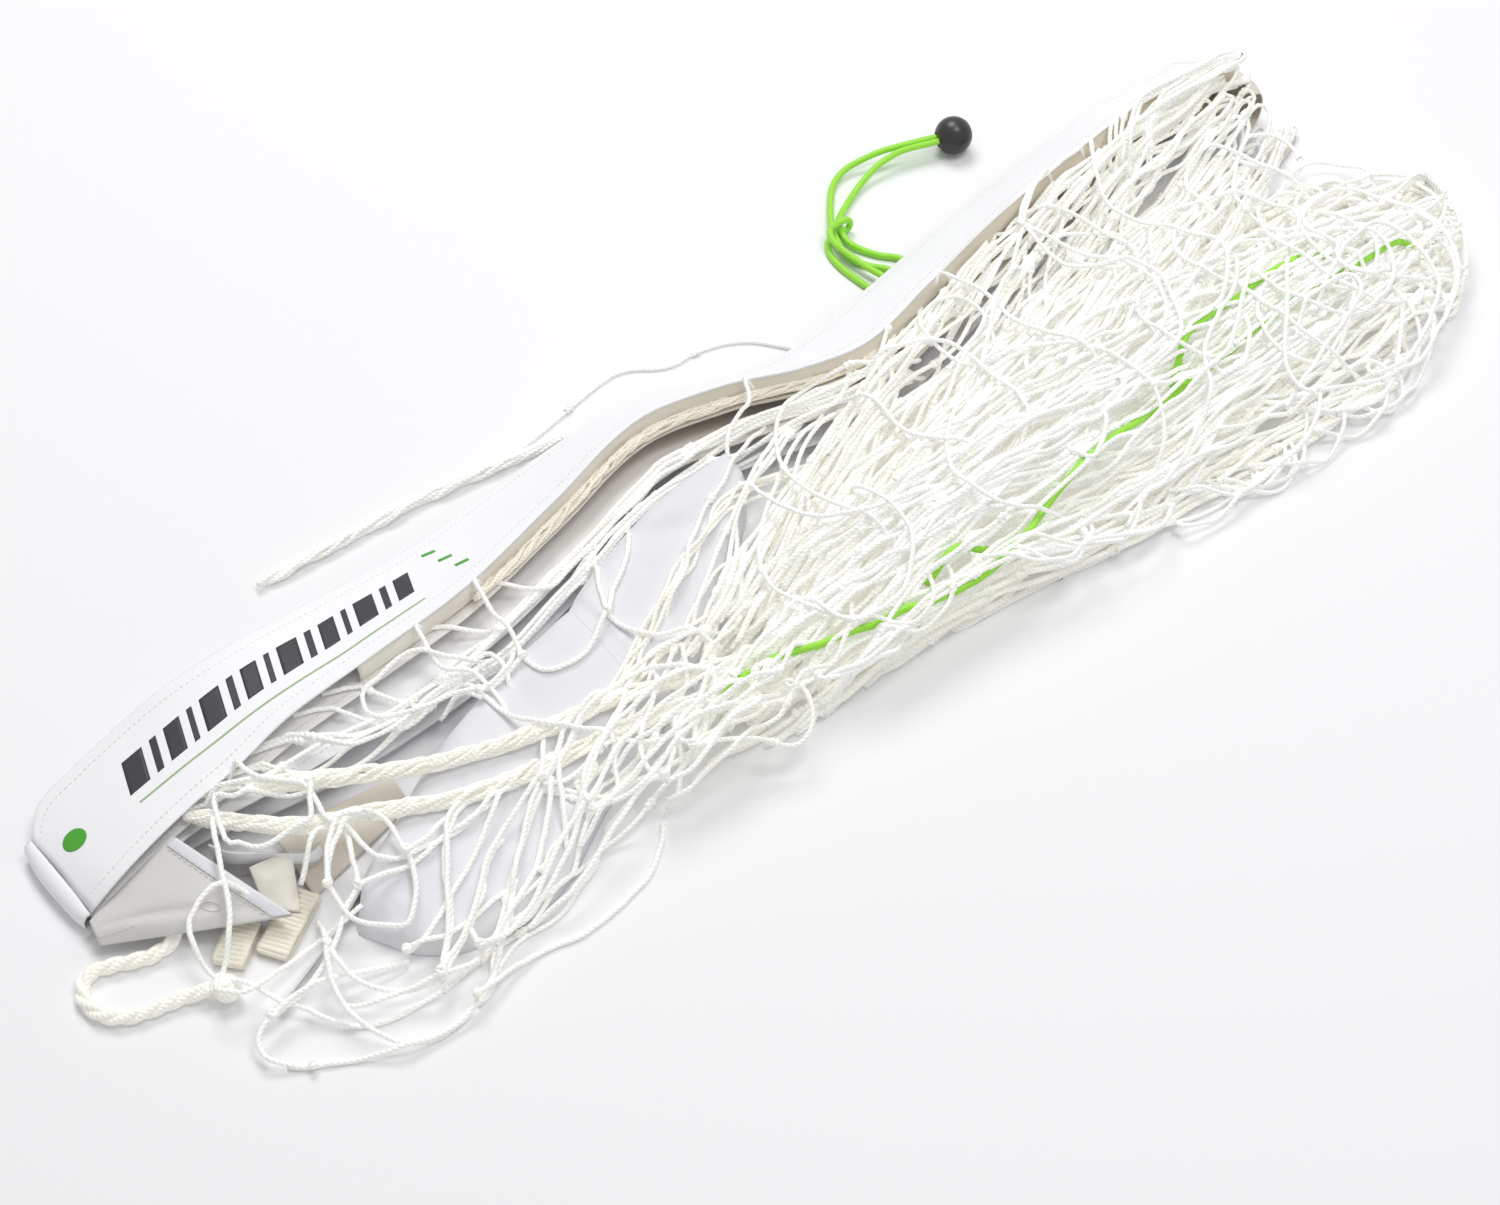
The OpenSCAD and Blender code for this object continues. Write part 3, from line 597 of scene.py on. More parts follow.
def sleeve_point(k, x, b, lift=0.0):
    """Point of run k at x: b from 0 at the back edge over the top to 0.5 at the front, then back below."""
    front, f_low, f_high, back, b_low, b_high = run_section(k, x)
    w = 2 * b if b < 0.5 else 2 - 2 * b
    s = float(ease(w))
    top = b_high + (f_high - b_high) * s
    full = (b_high - b_low) + ((f_high - f_low) - (b_high - b_low)) * s
    thick = min(full, HEM_T + (full - HEM_T) * math.sin(math.pi * s) ** 0.8)
    round_off = math.sqrt(max(0.0, 1 - abs(2 * s - 1) ** 10))
    middle = top - thick / 2
    upper = b < 0.5
    z = middle + (1 if upper else -1) * (thick / 2) * round_off
    drift = 0.9 * sway(x / 85, s * 1.4, k * 5.0) + 0.35 * sway(x / 24, s * 3, k * 9.0)
    # The cloth lies in a low ridge along each hem seam
    width = abs(back - front)
    for edge in (HEM_W / width, 1 - HEM_W / width):
        drift -= 0.35 * math.exp(-((s - edge) * width / 1.3) ** 2) if upper else 0
    z += drift * (1 if upper else 0.6) + lift
    y = back + (front - back) * s + 0.8 * sway(x / 60, k * 3.3, 1.7) * (1 - abs(2 * s - 1) ** 3 + 0.3)
    return x, y, z


def on_top(k, x, from_front, lift=0.4):
    """Point on the upper ply of run k, that far in from its front edge, in mm."""
    front, _, _, back, _, _ = run_section(k, x)
    share = 1 - from_front / (back - front) if from_front >= 0 else -from_front / (back - front)
    return sleeve_point(k, x, float(np.interp(share, S_STEPS, W_STEPS)) / 2, lift)


def sleeve(k, finish):
    """The run as one cloth sewn to a flat tube."""
    name = RUNS[k][0]
    made = cloth(name + "_cloth", ((COURSE_X1 - COURSE_X0) * MM, 0.17), (230, 44),
                 lambda a, b: sleeve_point(k, COURSE_X0 + (COURSE_X1 - COURSE_X0) * a, b), CLOTH_T, finish,
                 closed=True)
    dress(made, "sleeve_cloth" if k != SECOND else "lining_cloth", name)
    return made


sleeves = [sleeve(BASE, PANEL_CLOTH), sleeve(THIRD, SHADED_THIRD_CLOTH), sleeve(SECOND, SHADED_RUN_LINING),
           sleeve(PRINTED, SLEEVE_CLOTH)]


def fold(name, at_x, way, depth, front, back, height, finish):
    """The cloth that turns over at one end of the sleeve, from the floor to its upper ply."""
    def place(a, b):
        turn = math.pi * (a - 0.5)
        # The corners of the fold draw in, and its edge is a little wavy
        draw = (1 - 0.35 * abs(2 * b - 1) ** 3) * (1 + 0.12 * sway(b * 4, at_x / 90))
        tall = height * (1 - 0.1 * abs(2 * b - 1) ** 2)
        return (at_x + way * depth * draw * math.cos(turn) ** 0.8 if abs(a - 0.5) < 0.5 else at_x,
                front + (back - front) * b, 0.5 + (tall - 0.5) / 2 * (1 + math.sin(turn)))
    made = cloth(name + "_cloth", (0.03, (back - front) * MM), (22, 30), place, CLOTH_T, finish)
    dress(made, "sleeve_cloth", name)


# The stretch of the printed run whose lining hangs out
EDGE_X0, EDGE_X1 = -300.0, 522.0


def edge_lining_point(a, b):
    """The lining of the printed run hangs from its front edge and rests on the run below; its tan is painted
    shade for that shaded edge.
    """
    x = EDGE_X0 + (EDGE_X1 - EDGE_X0) * a
    front, top = curve_value(COURSE, x, FRONT_Y), curve_value(COURSE, x, FRONT_Z)
    low = run_section(SECOND, x)[2]
    belly = math.sin(math.pi * b)
    return (x, front + 1.8 - 2.4 * b - (1.6 + 0.8 * sway(x / 40, b * 2, 6.0)) * belly,
            top - 1.8 + (low - 0.4 - top + 1.8) * b)


edge_lining = cloth("printed_run_edge_lining", ((EDGE_X1 - EDGE_X0) * MM, 0.015), (200, 10),
                    edge_lining_point, 0.5, SHADED_EDGE_LINING)
dress(edge_lining, "lining_cloth")
fold("left_fold", -512.3, -1, 9, 20, 88, 16.6, SLEEVE_CLOTH)
fold("right_fold", 525.3, 1, 16, 78, 122, 36.4, SHADED_LINING_CLOTH)


# ---- Sewing: each stitch is its own short thread
def stitches(route, pitch=4.0, length=3.1, thick=0.42, tint=0.8):
    """Stitches along a route in mm, sunk a little at both ends."""
    route = evenly(route, pitch / 4)
    made = []
    for i in range(0, len(route) - 4, 4):
        bite = evenly(route[i:i + 4], length / 4)[:4].copy()
        bite[[0, -1], 2] -= 0.45
        made.append((bite, thick, tint))
    return made


def sewn_line(k, from_front, x0, x1):
    """Route on the upper ply of run k, so far in from its front edge, or from its back edge if negative."""
    return [on_top(k, x, from_front, 0.45) for x in np.arange(x0, x1, 4.0)]


sleeve_seams = []
for k, from_front, x0 in ((PRINTED, HEM_W, -510), (PRINTED, -HEM_W, -510), (THIRD, 7, -508),
                          (SECOND, 5, -508)):
    sleeve_seams += stitches(sewn_line(k, from_front, x0, 524))
sleeve_stitching = tubes("sleeve_stitching", sleeve_seams, THREAD, sides=5)
dress(sleeve_stitching, "sleeve_cloth")


# ---- Print: plain slanted bars, a thin line and a round patch, no lettering
# The print rises and narrows from this x over this length
PRINT_X, PRINT_LONG = -456, 223
BAR_GAP = 5.6


def on_ply(x, y):
    """Point on the printed run's upper ply over (x, y)."""
    return on_top(PRINTED, x, y - run_section(PRINTED, x)[0], 0.42)


def ink(name, patches, finish):
    """Printed shapes as one thin skin. A patch is (cells, place): place(a, b) gives x and y on the sleeve."""
    bm = bmesh.new()
    uv = bm.loops.layers.uv.new("cut")
    for cells, place in patches:
        made = bmesh.ops.create_grid(bm, x_segments=cells[0], y_segments=cells[1], size=0.5)["verts"]
        for vert in made:
            vert.co = Vector(metres(on_ply(*place(vert.co.x + 0.5, vert.co.y + 0.5))))
    for face in bm.faces:
        for loop in face.loops:
            loop[uv].uv = (loop.vert.co.x, loop.vert.co.y)
    bmesh.ops.remove_doubles(bm, verts=bm.verts, dist=1e-6)
    mesh = bpy.data.meshes.new(name)
    bm.to_mesh(mesh)
    bm.free()
    made = show(mesh, name, finish)
    skin = made.modifiers.new("film", "SOLIDIFY")
    skin.thickness, skin.offset = 0.12 * MM, 0
    dress(made, "sleeve_cloth")


def bar(x0, x1):
    """A slanted bar between the two long sides of the print."""
    def place(a, b):
        x = x0 + (x1 - x0) * a + 9 * (b - 0.5)
        share = (x - PRINT_X) / PRINT_LONG
        return x, 63 + 15 * share + (25 - 4 * share) * b
    return (6, 12), place


def disc(x, y, radius):
    """A round patch about a point of the sleeve."""
    return (8, 36), lambda a, b: (x + radius * a * math.cos(2 * math.pi * b),
                                  y + radius * a * math.sin(2 * math.pi * b))


def dash(x0, y0, x1, y1, width, cells=6):
    """A straight stripe from one point of the sleeve to another."""
    run = math.hypot(x1 - x0, y1 - y0)
    across_x, across_y = -(y1 - y0) / run * width, (x1 - x0) / run * width
    return (cells, 2), lambda a, b: (x0 + (x1 - x0) * a + across_x * (b - 0.5),
                                     y0 + (y1 - y0) * a + across_y * (b - 0.5))


bars = []
x = -450.0
for wide in [15, 5, 12, 4] * 3 + [15, 5, 12]:
    bars.append(bar(x, x + wide))
    x += wide + BAR_GAP
ink("sleeve_print_bars", bars, INK_BLACK)
ink("sleeve_print_line", [dash(-453, 54.5, -236, 66, 1.3, 110)], INK_GREY)
ink("sleeve_print_patch", [disc(-494, 66, 7.6)], INK_GREEN)
dashes = [dash(-211 + 3.4 * i, 107 - 1.2 * i - 13 * i, -202 + 3.4 * i, 104.8 - 14.2 * i, 3.0)
          for i in range(3)]
ink("sleeve_print_dashes", dashes, INK_GREEN)


# ---- Corner pocket
TIP_HIGH, TIP_LOW = np.array([-516.0, 16, 15]), np.array([-519.0, 2, 9.8])
MOUTH_TOP, MOUTH_BACK = np.array([-452, 22.0, 36]), np.array([-452, 22.0, 9.2])
MOUTH_FRONT, MOUTH_LOW = np.array([-424, -57.4, 17]), np.array([-430, -44.4, 9.2])


def pocket_point(a, b, out=0.0):
    """Point of the pocket: a from tip to mouth, b from the top edge down the front and back under it."""
    top, front = TIP_HIGH + (MOUTH_TOP - TIP_HIGH) * a, TIP_LOW + (MOUTH_FRONT - TIP_LOW) * a
    low, back = TIP_LOW + (MOUTH_LOW - TIP_LOW) * a, TIP_HIGH + (MOUTH_BACK - TIP_HIGH) * a
    stops = (0, 0.45, 0.55, 0.8, 1)
    ring = (top, front, low, back, top)
    i = min(3, int(np.searchsorted(stops, b, side="right")) - 1)
    share = (b - stops[i]) / (stops[i + 1] - stops[i])
    spot = ring[i] + (ring[i + 1] - ring[i]) * share
    facing = np.array([-0.30, -0.62, 0.72])
    if b < 0.55:
        # The front face bellies out, more below than above, and dents in two soft folds
        across, along = math.sin(math.pi * min(1, b / 0.5)), math.sin(math.pi * min(1.0, 0.12 + a * 0.8))
        belly = across ** 0.8 * along ** 0.9
        fold_dip = 1.6 * math.exp(-((b / 0.5 - 0.55 - 0.5 * (a - 0.5)) / 0.09) ** 2) * a * (1 - a) * 4
        wave = 0.9 * sway(a * 3, b * 5, 4.2) * math.sin(math.pi * min(1, b * 2))
        spot = spot + facing * (6.5 * belly - fold_dip + wave)
    return spot + facing * out


pocket = cloth("corner_pocket_cloth", (0.07, 0.19), (44, 80),
               lambda a, b: pocket_point(0.002 + 0.998 * a, b), 0.8, POCKET_CLOTH, closed=True)
dress(pocket, "sleeve_cloth", "corner_pocket")


# The hem lies inside the mouth up to the first share of its width, and outside it from the second
HEM_IN, HEM_OUT = 0.32, 0.42


def hem_point(a, b):
    """The hem folded over the mouth."""
    along = 0.01 + 0.43 * a
    if b < HEM_IN:
        return pocket_point(0.945 + 0.055 * b / HEM_IN, along, -1.3)
    if b < HEM_OUT:
        turn = (b - HEM_IN) / 0.1 * math.pi
        return pocket_point(1.0 + 0.016 * math.sin(turn), along, -1.3 * math.cos(turn))
    return pocket_point(1.0 - 0.088 * (b - HEM_OUT) / 0.58, along, 1.3 - 0.6 * max(0, b - 0.8) / 0.2)


hem = cloth("pocket_hem_strip", (0.088, 0.011), (60, 18), hem_point, CLOTH_T, PANEL_CLOTH)
dress(hem, "sleeve_cloth", "pocket_hem")

FLAP_ROUTE = rounded([(-437, 8, 32), (-431, -2, 29), (-419, -8, 25), (-403, -20, 22), (-390, -29, 21),
                      (-383, -26, 20)], 2)
# The flap's hem starts at this share of its height
FLAP_HEM = 0.93


def flap_point(a, b):
    """The flap's wall stands on the floor and its hem rolls forward at the top."""
    run = np.linspace(0, 1, len(FLAP_ROUTE))
    x, y, z = (float(np.interp(a, run, FLAP_ROUTE[:, c])) for c in range(3))
    lean = 3.2 * math.sin(math.pi * b) + 1.2 * sway(a * 4, b * 2, 8.0)
    if b > FLAP_HEM:
        share = (b - FLAP_HEM) / 0.07
        turn = share * math.pi
        return (x - 0.4 * math.sin(turn), y - lean - 1.5 * (1 - math.cos(turn)),
                z - 0.8 + 0.8 * math.sin(turn) - 2.5 * share)
    return x, y - lean, 0.4 + (z - 1.2) * b / FLAP_HEM


def flap_hem_point(a, b):
    """The hem lies on the upper third of the flap."""
    off = [-0.3, -1.0 - 0.3 * math.sin(math.pi * b), 0.4 * b]
    return tuple(np.array(flap_point(a, 0.62 + 0.32 * b)) + off)


flap = cloth("pocket_flap_cloth", (0.076, 0.029), (36, 34), flap_point, CLOTH_T, POCKET_CLOTH)
flap_hem = cloth("pocket_flap_hem", (0.076, 0.0095), (36, 8), flap_hem_point, CLOTH_T, SLEEVE_CLOTH)
dress(flap, "sleeve_cloth", "pocket_flap")
dress(flap_hem, "sleeve_cloth")


def scrim_point(a, b):
    """A small sheet between four corners, a little bowed."""
    return tuple(np.array([-425.0, -15, 20]) * (1 - a) * (1 - b) + np.array([-399.0, -21, 19]) * a * (1 - b)
                 + np.array([-432.0, -41, 9]) * (1 - a) * b + np.array([-416.0, -53, 7.5]) * a * b
                 + np.array([0, 0, 1.6 * math.sin(math.pi * a) + 0.8 * sway(a * 3, b * 3)]))


scrim = cloth("pocket_scrim_tape", (0.03, 0.022), (20, 16), scrim_point, 0.5, SCRIM)
dress(scrim, "lining_cloth")

pocket_seams = []
for a, out in ((0.925, 1.75), (0.895, 0.9)):
    pocket_seams += stitches([pocket_point(a, b, out) for b in np.linspace(0.02, 0.43, 30)], tint=0.9)
tip_seam = [pocket_point(a, 0.30 - 0.06 * a, 0.75) for a in np.linspace(0.02, 0.3, 12)]
flap_seam = [np.array(flap_point(a, 0.8)) + [0, -0.5, 0] for a in np.linspace(0.02, 0.98, 26)]
pocket_seams += stitches(tip_seam, tint=0.5) + stitches(flap_seam, tint=0.9)
# A loose end of thread curls on the pocket beside the hem
tail = [np.array(pocket_point(0.72 + 0.045 * math.cos(t), 0.315 + 0.032 * math.sin(t), 0.8 + 0.02 * t))
        for t in np.linspace(-0.6, 5.6, 26)]
pocket_stitching = tubes("pocket_stitching", pocket_seams + [(np.array(tail), 0.4, 0.9)], THREAD, sides=5)
dress(pocket_stitching, "sleeve_cloth")


# ---- Straps under the pocket and the loose edge tape
# Width of the straps, and how far apart their ribs lie
STRAP_W, RIB_PITCH = 20, 3.2


def webbing_loop(name, root, heading, straight, node_name):
    """Ribbed webbing folded back on itself with a small eye at its bend."""
    along = np.array([math.cos(math.radians(heading)), math.sin(math.radians(heading)), 0])
    across = np.array([-along[1], along[0], 0])
    bend = 2.7
    whole = 2 * straight + math.pi * bend

    def place(a, b):
        run = a * whole
        if run < straight:
            out, z, face = run, 6.35, 1
        elif run < straight + math.pi * bend:
            turn = (run - straight) / bend
            out, z = straight + bend * math.sin(turn) * 1.25, 4.1 + 2.25 * math.cos(turn)
            face = math.cos(turn)
        else:
            out, z, face = whole - run, 1.9 + 0.2 * math.sin(run / 6), -1
        # Ribs lie across the strap and stand highest in the middle of its width
        rib = 0.85 * abs(math.sin(math.pi * run / RIB_PITCH)) * (1 - abs(2 * b - 1) ** 6)
        rib *= 0.65 + 0.35 * face
        wide = STRAP_W * (b - 0.5) * (1 + 0.02 * math.sin(run / 3))
        spot = np.array([root[0], root[1], 0.0]) + along * out + across * wide
        spot[2] = z + rib * face + 0.3 * sway(run / 9, b * 2, heading)
        if abs(face) < 0.99:
            spot += along * rib * 0.8
        return tuple(spot)
    made = cloth(name, (whole * MM, 0.02), (round(whole * 3), 10), place, 1.3, WEBBING)
    dress(made, "webbing", node_name)
    return made


straps = [webbing_loop("webbing_loop_left", (-443, -35), 217, 28.0, "strap_loop_left"),
          webbing_loop("webbing_loop_right", (-405, -41), 211, 43.0, "strap_loop_right")]


def tape_point(a, b):
    """The loose tape stands on its edge on the floor, in a low bow."""
    x, y = -374 - 88 * a, -58.1 - 41.9 * a
    bow = 1.6 * math.sin(math.pi * a * 1.4)
    return (x + 0.43 * (bow + 4.2 * (b - 0.5)), y - 0.9 * (bow + 4.2 * (b - 0.5)),
            0.4 + (9.3 - 1.8 * a) * b + 0.5 * math.sin(8 * a) * b)


tape = cloth("edge_tape_strip", (0.098, 0.0104), (60, 8), tape_point, CLOTH_T, TAPE)
dress(tape, "webbing", "edge_tape")


# ---- Plain panels of the sleeve in front of the stack: x, front y, front z, back y, back z
FRONT_PANEL = [(-396, -92, 12, -74, 14), (-378, -118, 14, -62, 26), (-348, -136, 14, -46, 34),
               (-291, -138, 16, -16, 38), (-228, -106, 20, 4, 41), (-168, -84, 24, 16, 43)]
MIDDLE_PANEL = [(-180, -87, 23.4, 12.6, 42.6), (-167.4, -82, 25, 17, 44),
                (-124, -60, 30, stack_front(-124) - 0.6, 45), (-64, -22, 36, stack_front(-64) - 0.6, 46),
                (-12, 22, 40, stack_front(-12) - 0.6, 46)]


def panel_point(edges, x, b, draw=1.0, seed=0.0):
    """Point of a panel at x: b from the back over the crown to the front at 0.5 and back along the floor."""
    front, f_high, back, b_high = (curve_value(edges, x, c) for c in (1, 2, 3, 4))
    w = 2 * b if b < 0.5 else 2 - 2 * b
    s = float(ease(w, 0.85))
    middle = (front + back) / 2
    y = middle + (0.5 - s) * (back - front) * draw
    height = b_high + (f_high - b_high) * s ** 1.15
    round_off = max(0.0, 1 - abs(2 * s - 1) ** 7) ** 0.45
    if b >= 0.5:
        return x, y, 0.4 + 0.25 * (1 - round_off)
    puff = (1.6 * sway(x / 46, s * 2.6, seed) + 0.9 * sway(x / 17, s * 5, seed + 3)) * round_off
    # A soft crease runs slantwise from the front up to the back
    crease = 2.2 * math.exp(-(((x - edges[0][0]) / 230 - 0.25 - 0.5 * s) / 0.05) ** 2) * round_off
    return x, y, 0.5 + (height * draw - 0.5) * round_off * (0.97 if draw < 1 else 1) + (puff - crease) * draw


def nose(a):
    """The left end of the front panel is folded shut to a rounded nose."""
    return math.sqrt(max(0.0, 1 - (1 - min(1, a / 0.1)) ** 2))


def slipped_in(a):
    """The left end of the middle panel is a little smaller and slips inside the front panel."""
    return 0.955 + 0.045 * min(1.0, a / 0.14)


def panel(name, edges, left_end, cells, seed):
    """A doubled panel along its edges, drawn in at its left end."""
    x0, x1 = edges[0][0], edges[-1][0]
    made = cloth(name + "_cloth", ((x1 - x0) * MM, 0.28), cells,
                 lambda a, b: panel_point(edges, x0 + (x1 - x0) * a, b, left_end(a), seed), 0.7, PANEL_CLOTH,
                 closed=True)
    dress(made, "sleeve_cloth", name)
    return made


front_panel = panel("front_panel", FRONT_PANEL, nose, (96, 90), 2.0)
middle_panel = panel("middle_panel", MIDDLE_PANEL, slipped_in, (64, 70), 6.0)
FLAP_FRONT = rounded([(462, 24), (500, 34), (520, 62)], 2)
END_HEM = rounded([(474, 26), (500, 33), (524, 37), (544, 48)], 2)


def flap_end_point(a, b):
    """The small flap at the right end, from the lowest run forward to its hem."""
    run = np.linspace(0, 1, len(FLAP_FRONT))
    fx, fy = (float(np.interp(a, run, FLAP_FRONT[:, c])) for c in (0, 1))
    x, y = 478 + 42 * a, stack_front(478 + 42 * a) + 1.4
    z = 0.9 + 1.1 * b * (0.6 + 0.4 * math.sin(7 * a)) + 0.5 * math.sin(3.1 * b)
    return x + (fx - x) * b, y + (fy - y) * b, z


def end_hem_point(a, b):
    """The hem stands a little off the floor in front of the flap."""
    run = np.linspace(0, 1, len(END_HEM))
    x, y = (float(np.interp(a, run, END_HEM[:, c])) for c in (0, 1))
    return x - 2.0 * b, y + 7.2 * b, 2.0 + 4.6 * b + 0.7 * math.sin(6 * a)


end_flap = cloth("end_flap_cloth", (0.044, 0.045), (24, 24), flap_end_point, 0.7, PANEL_CLOTH)
end_hem = cloth("end_flap_hem", (0.074, 0.0088), (30, 6), end_hem_point, 0.7, SHADED_LINING_CLOTH)
dress(end_flap, "sleeve_cloth", "end_flap")
dress(end_hem, "lining_cloth")


def lining_point(a, b):
    """The lining shows between the stack and the front panel where the sleeve turns over; its greige sheet is
    painted shade for the dark gap there.
    """
    back = np.array([-398 + 78 * a, 2 - 14 * a, 10 + 5 * a])
    front = np.array([-402 + 82 * a, -46 + 18 * a, 1.6])
    spot = back + (front - back) * b
    return spot[0], spot[1], spot[2] + 2.4 * math.sin(math.pi * b) + 1.2 * sway(a * 4, b * 3, 2.0)


lining = cloth("front_lining_cloth", (0.082, 0.045), (40, 20), lining_point, 0.7, SHADED_LINING_CLOTH)
dress(lining, "lining_cloth")


# ---- Twine is laid strand by strand on a field of heights, so each strand rests on what is under it
# Side of the field's square cells, and its corner
CELL, FIELD_X, FIELD_Y = 2.0, -580.0, -215.0
FIELD = np.zeros((580, 240))


def cells_of(x, y):
    """Column and row of the field under points in mm."""
    return (np.clip(((np.asarray(x) - FIELD_X) / CELL).astype(int), 0, FIELD.shape[0] - 1),
            np.clip(((np.asarray(y) - FIELD_Y) / CELL).astype(int), 0, FIELD.shape[1] - 1))


def rest_on(pieces):
    """Raise the field to the tops of the pieces."""
    graph = bpy.context.evaluated_depsgraph_get()
    down = Vector((0, 0, -1))
    for piece in pieces:
        tree = BVHTree.FromObject(piece, graph)
        corners = np.array([v.co for v in piece.data.vertices]) / MM - SHIFT
        columns, rows = cells_of(corners[:, 0], corners[:, 1])
        for i in range(columns.min(), columns.max() + 1):
            for j in range(rows.min(), rows.max() + 1):
                spot = metres([FIELD_X + (i + 0.5) * CELL, FIELD_Y + (j + 0.5) * CELL, 200])
                hit = tree.ray_cast(Vector(spot), down)[0]
                if hit and hit.z / MM > FIELD[i, j]:
                    FIELD[i, j] = hit.z / MM


def mark(path, radius, press=0.5):
    """Raise the field to the top of a strand."""
    run = run_over(path[:, 0], path[:, 1])
    fine = np.linspace(0, run[-1], max(2, int(run[-1] / 1.6)))
    x, y, z = (np.interp(fine, run, path[:, c]) for c in range(3))
    for dx, dy, drop in ((0, 0, 0.15), (radius * 0.7, 0, 0.5), (-radius * 0.7, 0, 0.5),
                         (0, radius * 0.7, 0.5), (0, -radius * 0.7, 0.5)):
        np.maximum.at(FIELD, cells_of(x + dx, y + dy), z + radius * (1 - drop) - press)


def lay(path, radius, slope=0.42, press=0.5):
    """Heights for a strand along a path in mm, at rest on the field, which it then raises."""
    x, y = path[:, 0], path[:, 1]
    under = np.max([FIELD[cells_of(x + dx, y + dy)] for dx, dy in
                    ((0, 0), (radius, 0), (-radius, 0), (0, radius), (0, -radius))], axis=0)
    run = run_over(x, y)
    z = under + radius
    # Twine is stiff enough to bridge: it comes down no steeper than slope
    z = np.maximum(np.maximum.accumulate(z + slope * run) - slope * run,
                   np.maximum.accumulate((z - slope * run)[::-1])[::-1] + slope * run)
    for _ in range(3):
        z[1:-1] = np.maximum(z[1:-1] * 0.5 + (z[:-2] + z[2:]) * 0.25, under[1:-1] + radius * 0.8)
    path = np.column_stack([x, y, z])
    mark(path, radius, press)
    return path


def waves(run, reach, longest, dice, count=4):
    """Irregular wave along a run of lengths in mm."""
    made = np.zeros(len(run))
    for k in range(count):
        made += np.sin(2 * math.pi * run / longest * 1.75 ** k * dice.uniform(0.85, 1.15)
                       + dice.uniform(0, 2 * math.pi)) / 1.6 ** k
    return made * reach / 1.7


def ruffled(path, reach, longest, dice, step=6.0):
    """The path with irregular slack in it, its ends kept."""
    path = evenly(path, step)
    run = np.arange(len(path)) * step
    along = np.gradient(path, axis=0)
    along /= np.maximum(np.linalg.norm(along, axis=1), 1e-6)[:, None]
    fade = np.minimum(1, np.minimum(run, run[-1] - run) / (longest * 0.2) + 0.15)
    side = waves(run, reach, longest, dice, 3) * fade
    push = waves(run, reach * 0.5, longest * 0.6, dice, 3) * fade
    path = path + side[:, None] * along[:, ::-1] * [-1, 1] + push[:, None] * along
    return evenly(path, step)


# Radius of the net's twine, and how far apart its mesh knots lie along a strand
NET_R, KNOT_GAP = 1.6, 118.0


def twine(points, radius, tint, dice, knots=KNOT_GAP):
    """A strand with its mesh knots: two humps close together, about that far apart in mm."""
    run = run_along(points)
    centres = np.arange(dice.uniform(15, knots), run[-1] - 8, knots) if knots else np.array([])
    centres = centres + dice.uniform(-9, 9, len(centres))
    extra = np.concatenate([centres + d for d in (-4.6, -3, -1.5, 0, 1.5, 3, 4.6)]) if len(centres) else []
    at = np.unique(np.concatenate([run, np.clip(extra, 0, run[-1])]))
    points = np.stack([np.interp(at, run, points[:, k]) for k in range(3)], axis=1)
    swell = np.zeros(len(at))
    for c in centres:
        humps = 1.05 * np.exp(-((at - c - 1.7) / 1.25) ** 2) + 0.85 * np.exp(-((at - c + 1.7) / 1.25) ** 2)
        swell = np.maximum(swell, humps)
    points[:, 2] = np.maximum(points[:, 2], radius * (1 + swell))
    return points, radius * (1 + swell), tint


# The heap's height at its rim and at its top, and its outline: x, front y, back y, share of the top's height
HEAP_RIM, HEAP_TOP = 8, 55
HEAP = np.array([(-130, -140, -60, 0.45), (-60, -140, -40, 0.65), (0, -140, 14, 0.80), (100, -150, 60, 0.95),
                 (226, -174, 60, 1.00), (330, -182, 60, 0.98), (400, -184, 50, 0.92), (450, -172, 16, 0.84),
                 (500, -150, 8, 0.72), (552, -130, 0, 0.55)]).T


def heap_sides(x):
    """Front and back of the heap at x, drawn in to a rounded end on the right."""
    front, back = np.interp(x, HEAP[0], HEAP[1]), np.interp(x, HEAP[0], HEAP[2])
    back = np.minimum(back, stack_front(x) - 0.6)
    middle, half = (front + back) / 2, (back - front) / 2
    end = np.clip((x - 490) / 66, 0, 1)
    half = half * np.sqrt(np.maximum(0.0, 1 - end ** 2.4))
    start = np.clip((-90 - x) / 60, 0, 1)
    half = half * (1 - 0.45 * start ** 2)
    return middle - half, middle + half


def heap_height(x, y):
    """Height that the gathered net reaches over (x, y)."""
    front, back = heap_sides(x)
    half = np.maximum((back - front) / 2, 1)
    inset = np.clip(np.minimum(y - front, back - y), 0, half)
    share = np.interp(x, HEAP[0], HEAP[3])
    ends = np.clip(np.minimum(x + 150, 560 - x) / 40, 0, 1)
    rise = (HEAP_TOP * share - HEAP_RIM) * np.sin(math.pi / 2 * inset / half)
    return (HEAP_RIM + rise) * (0.35 + 0.65 * ends)


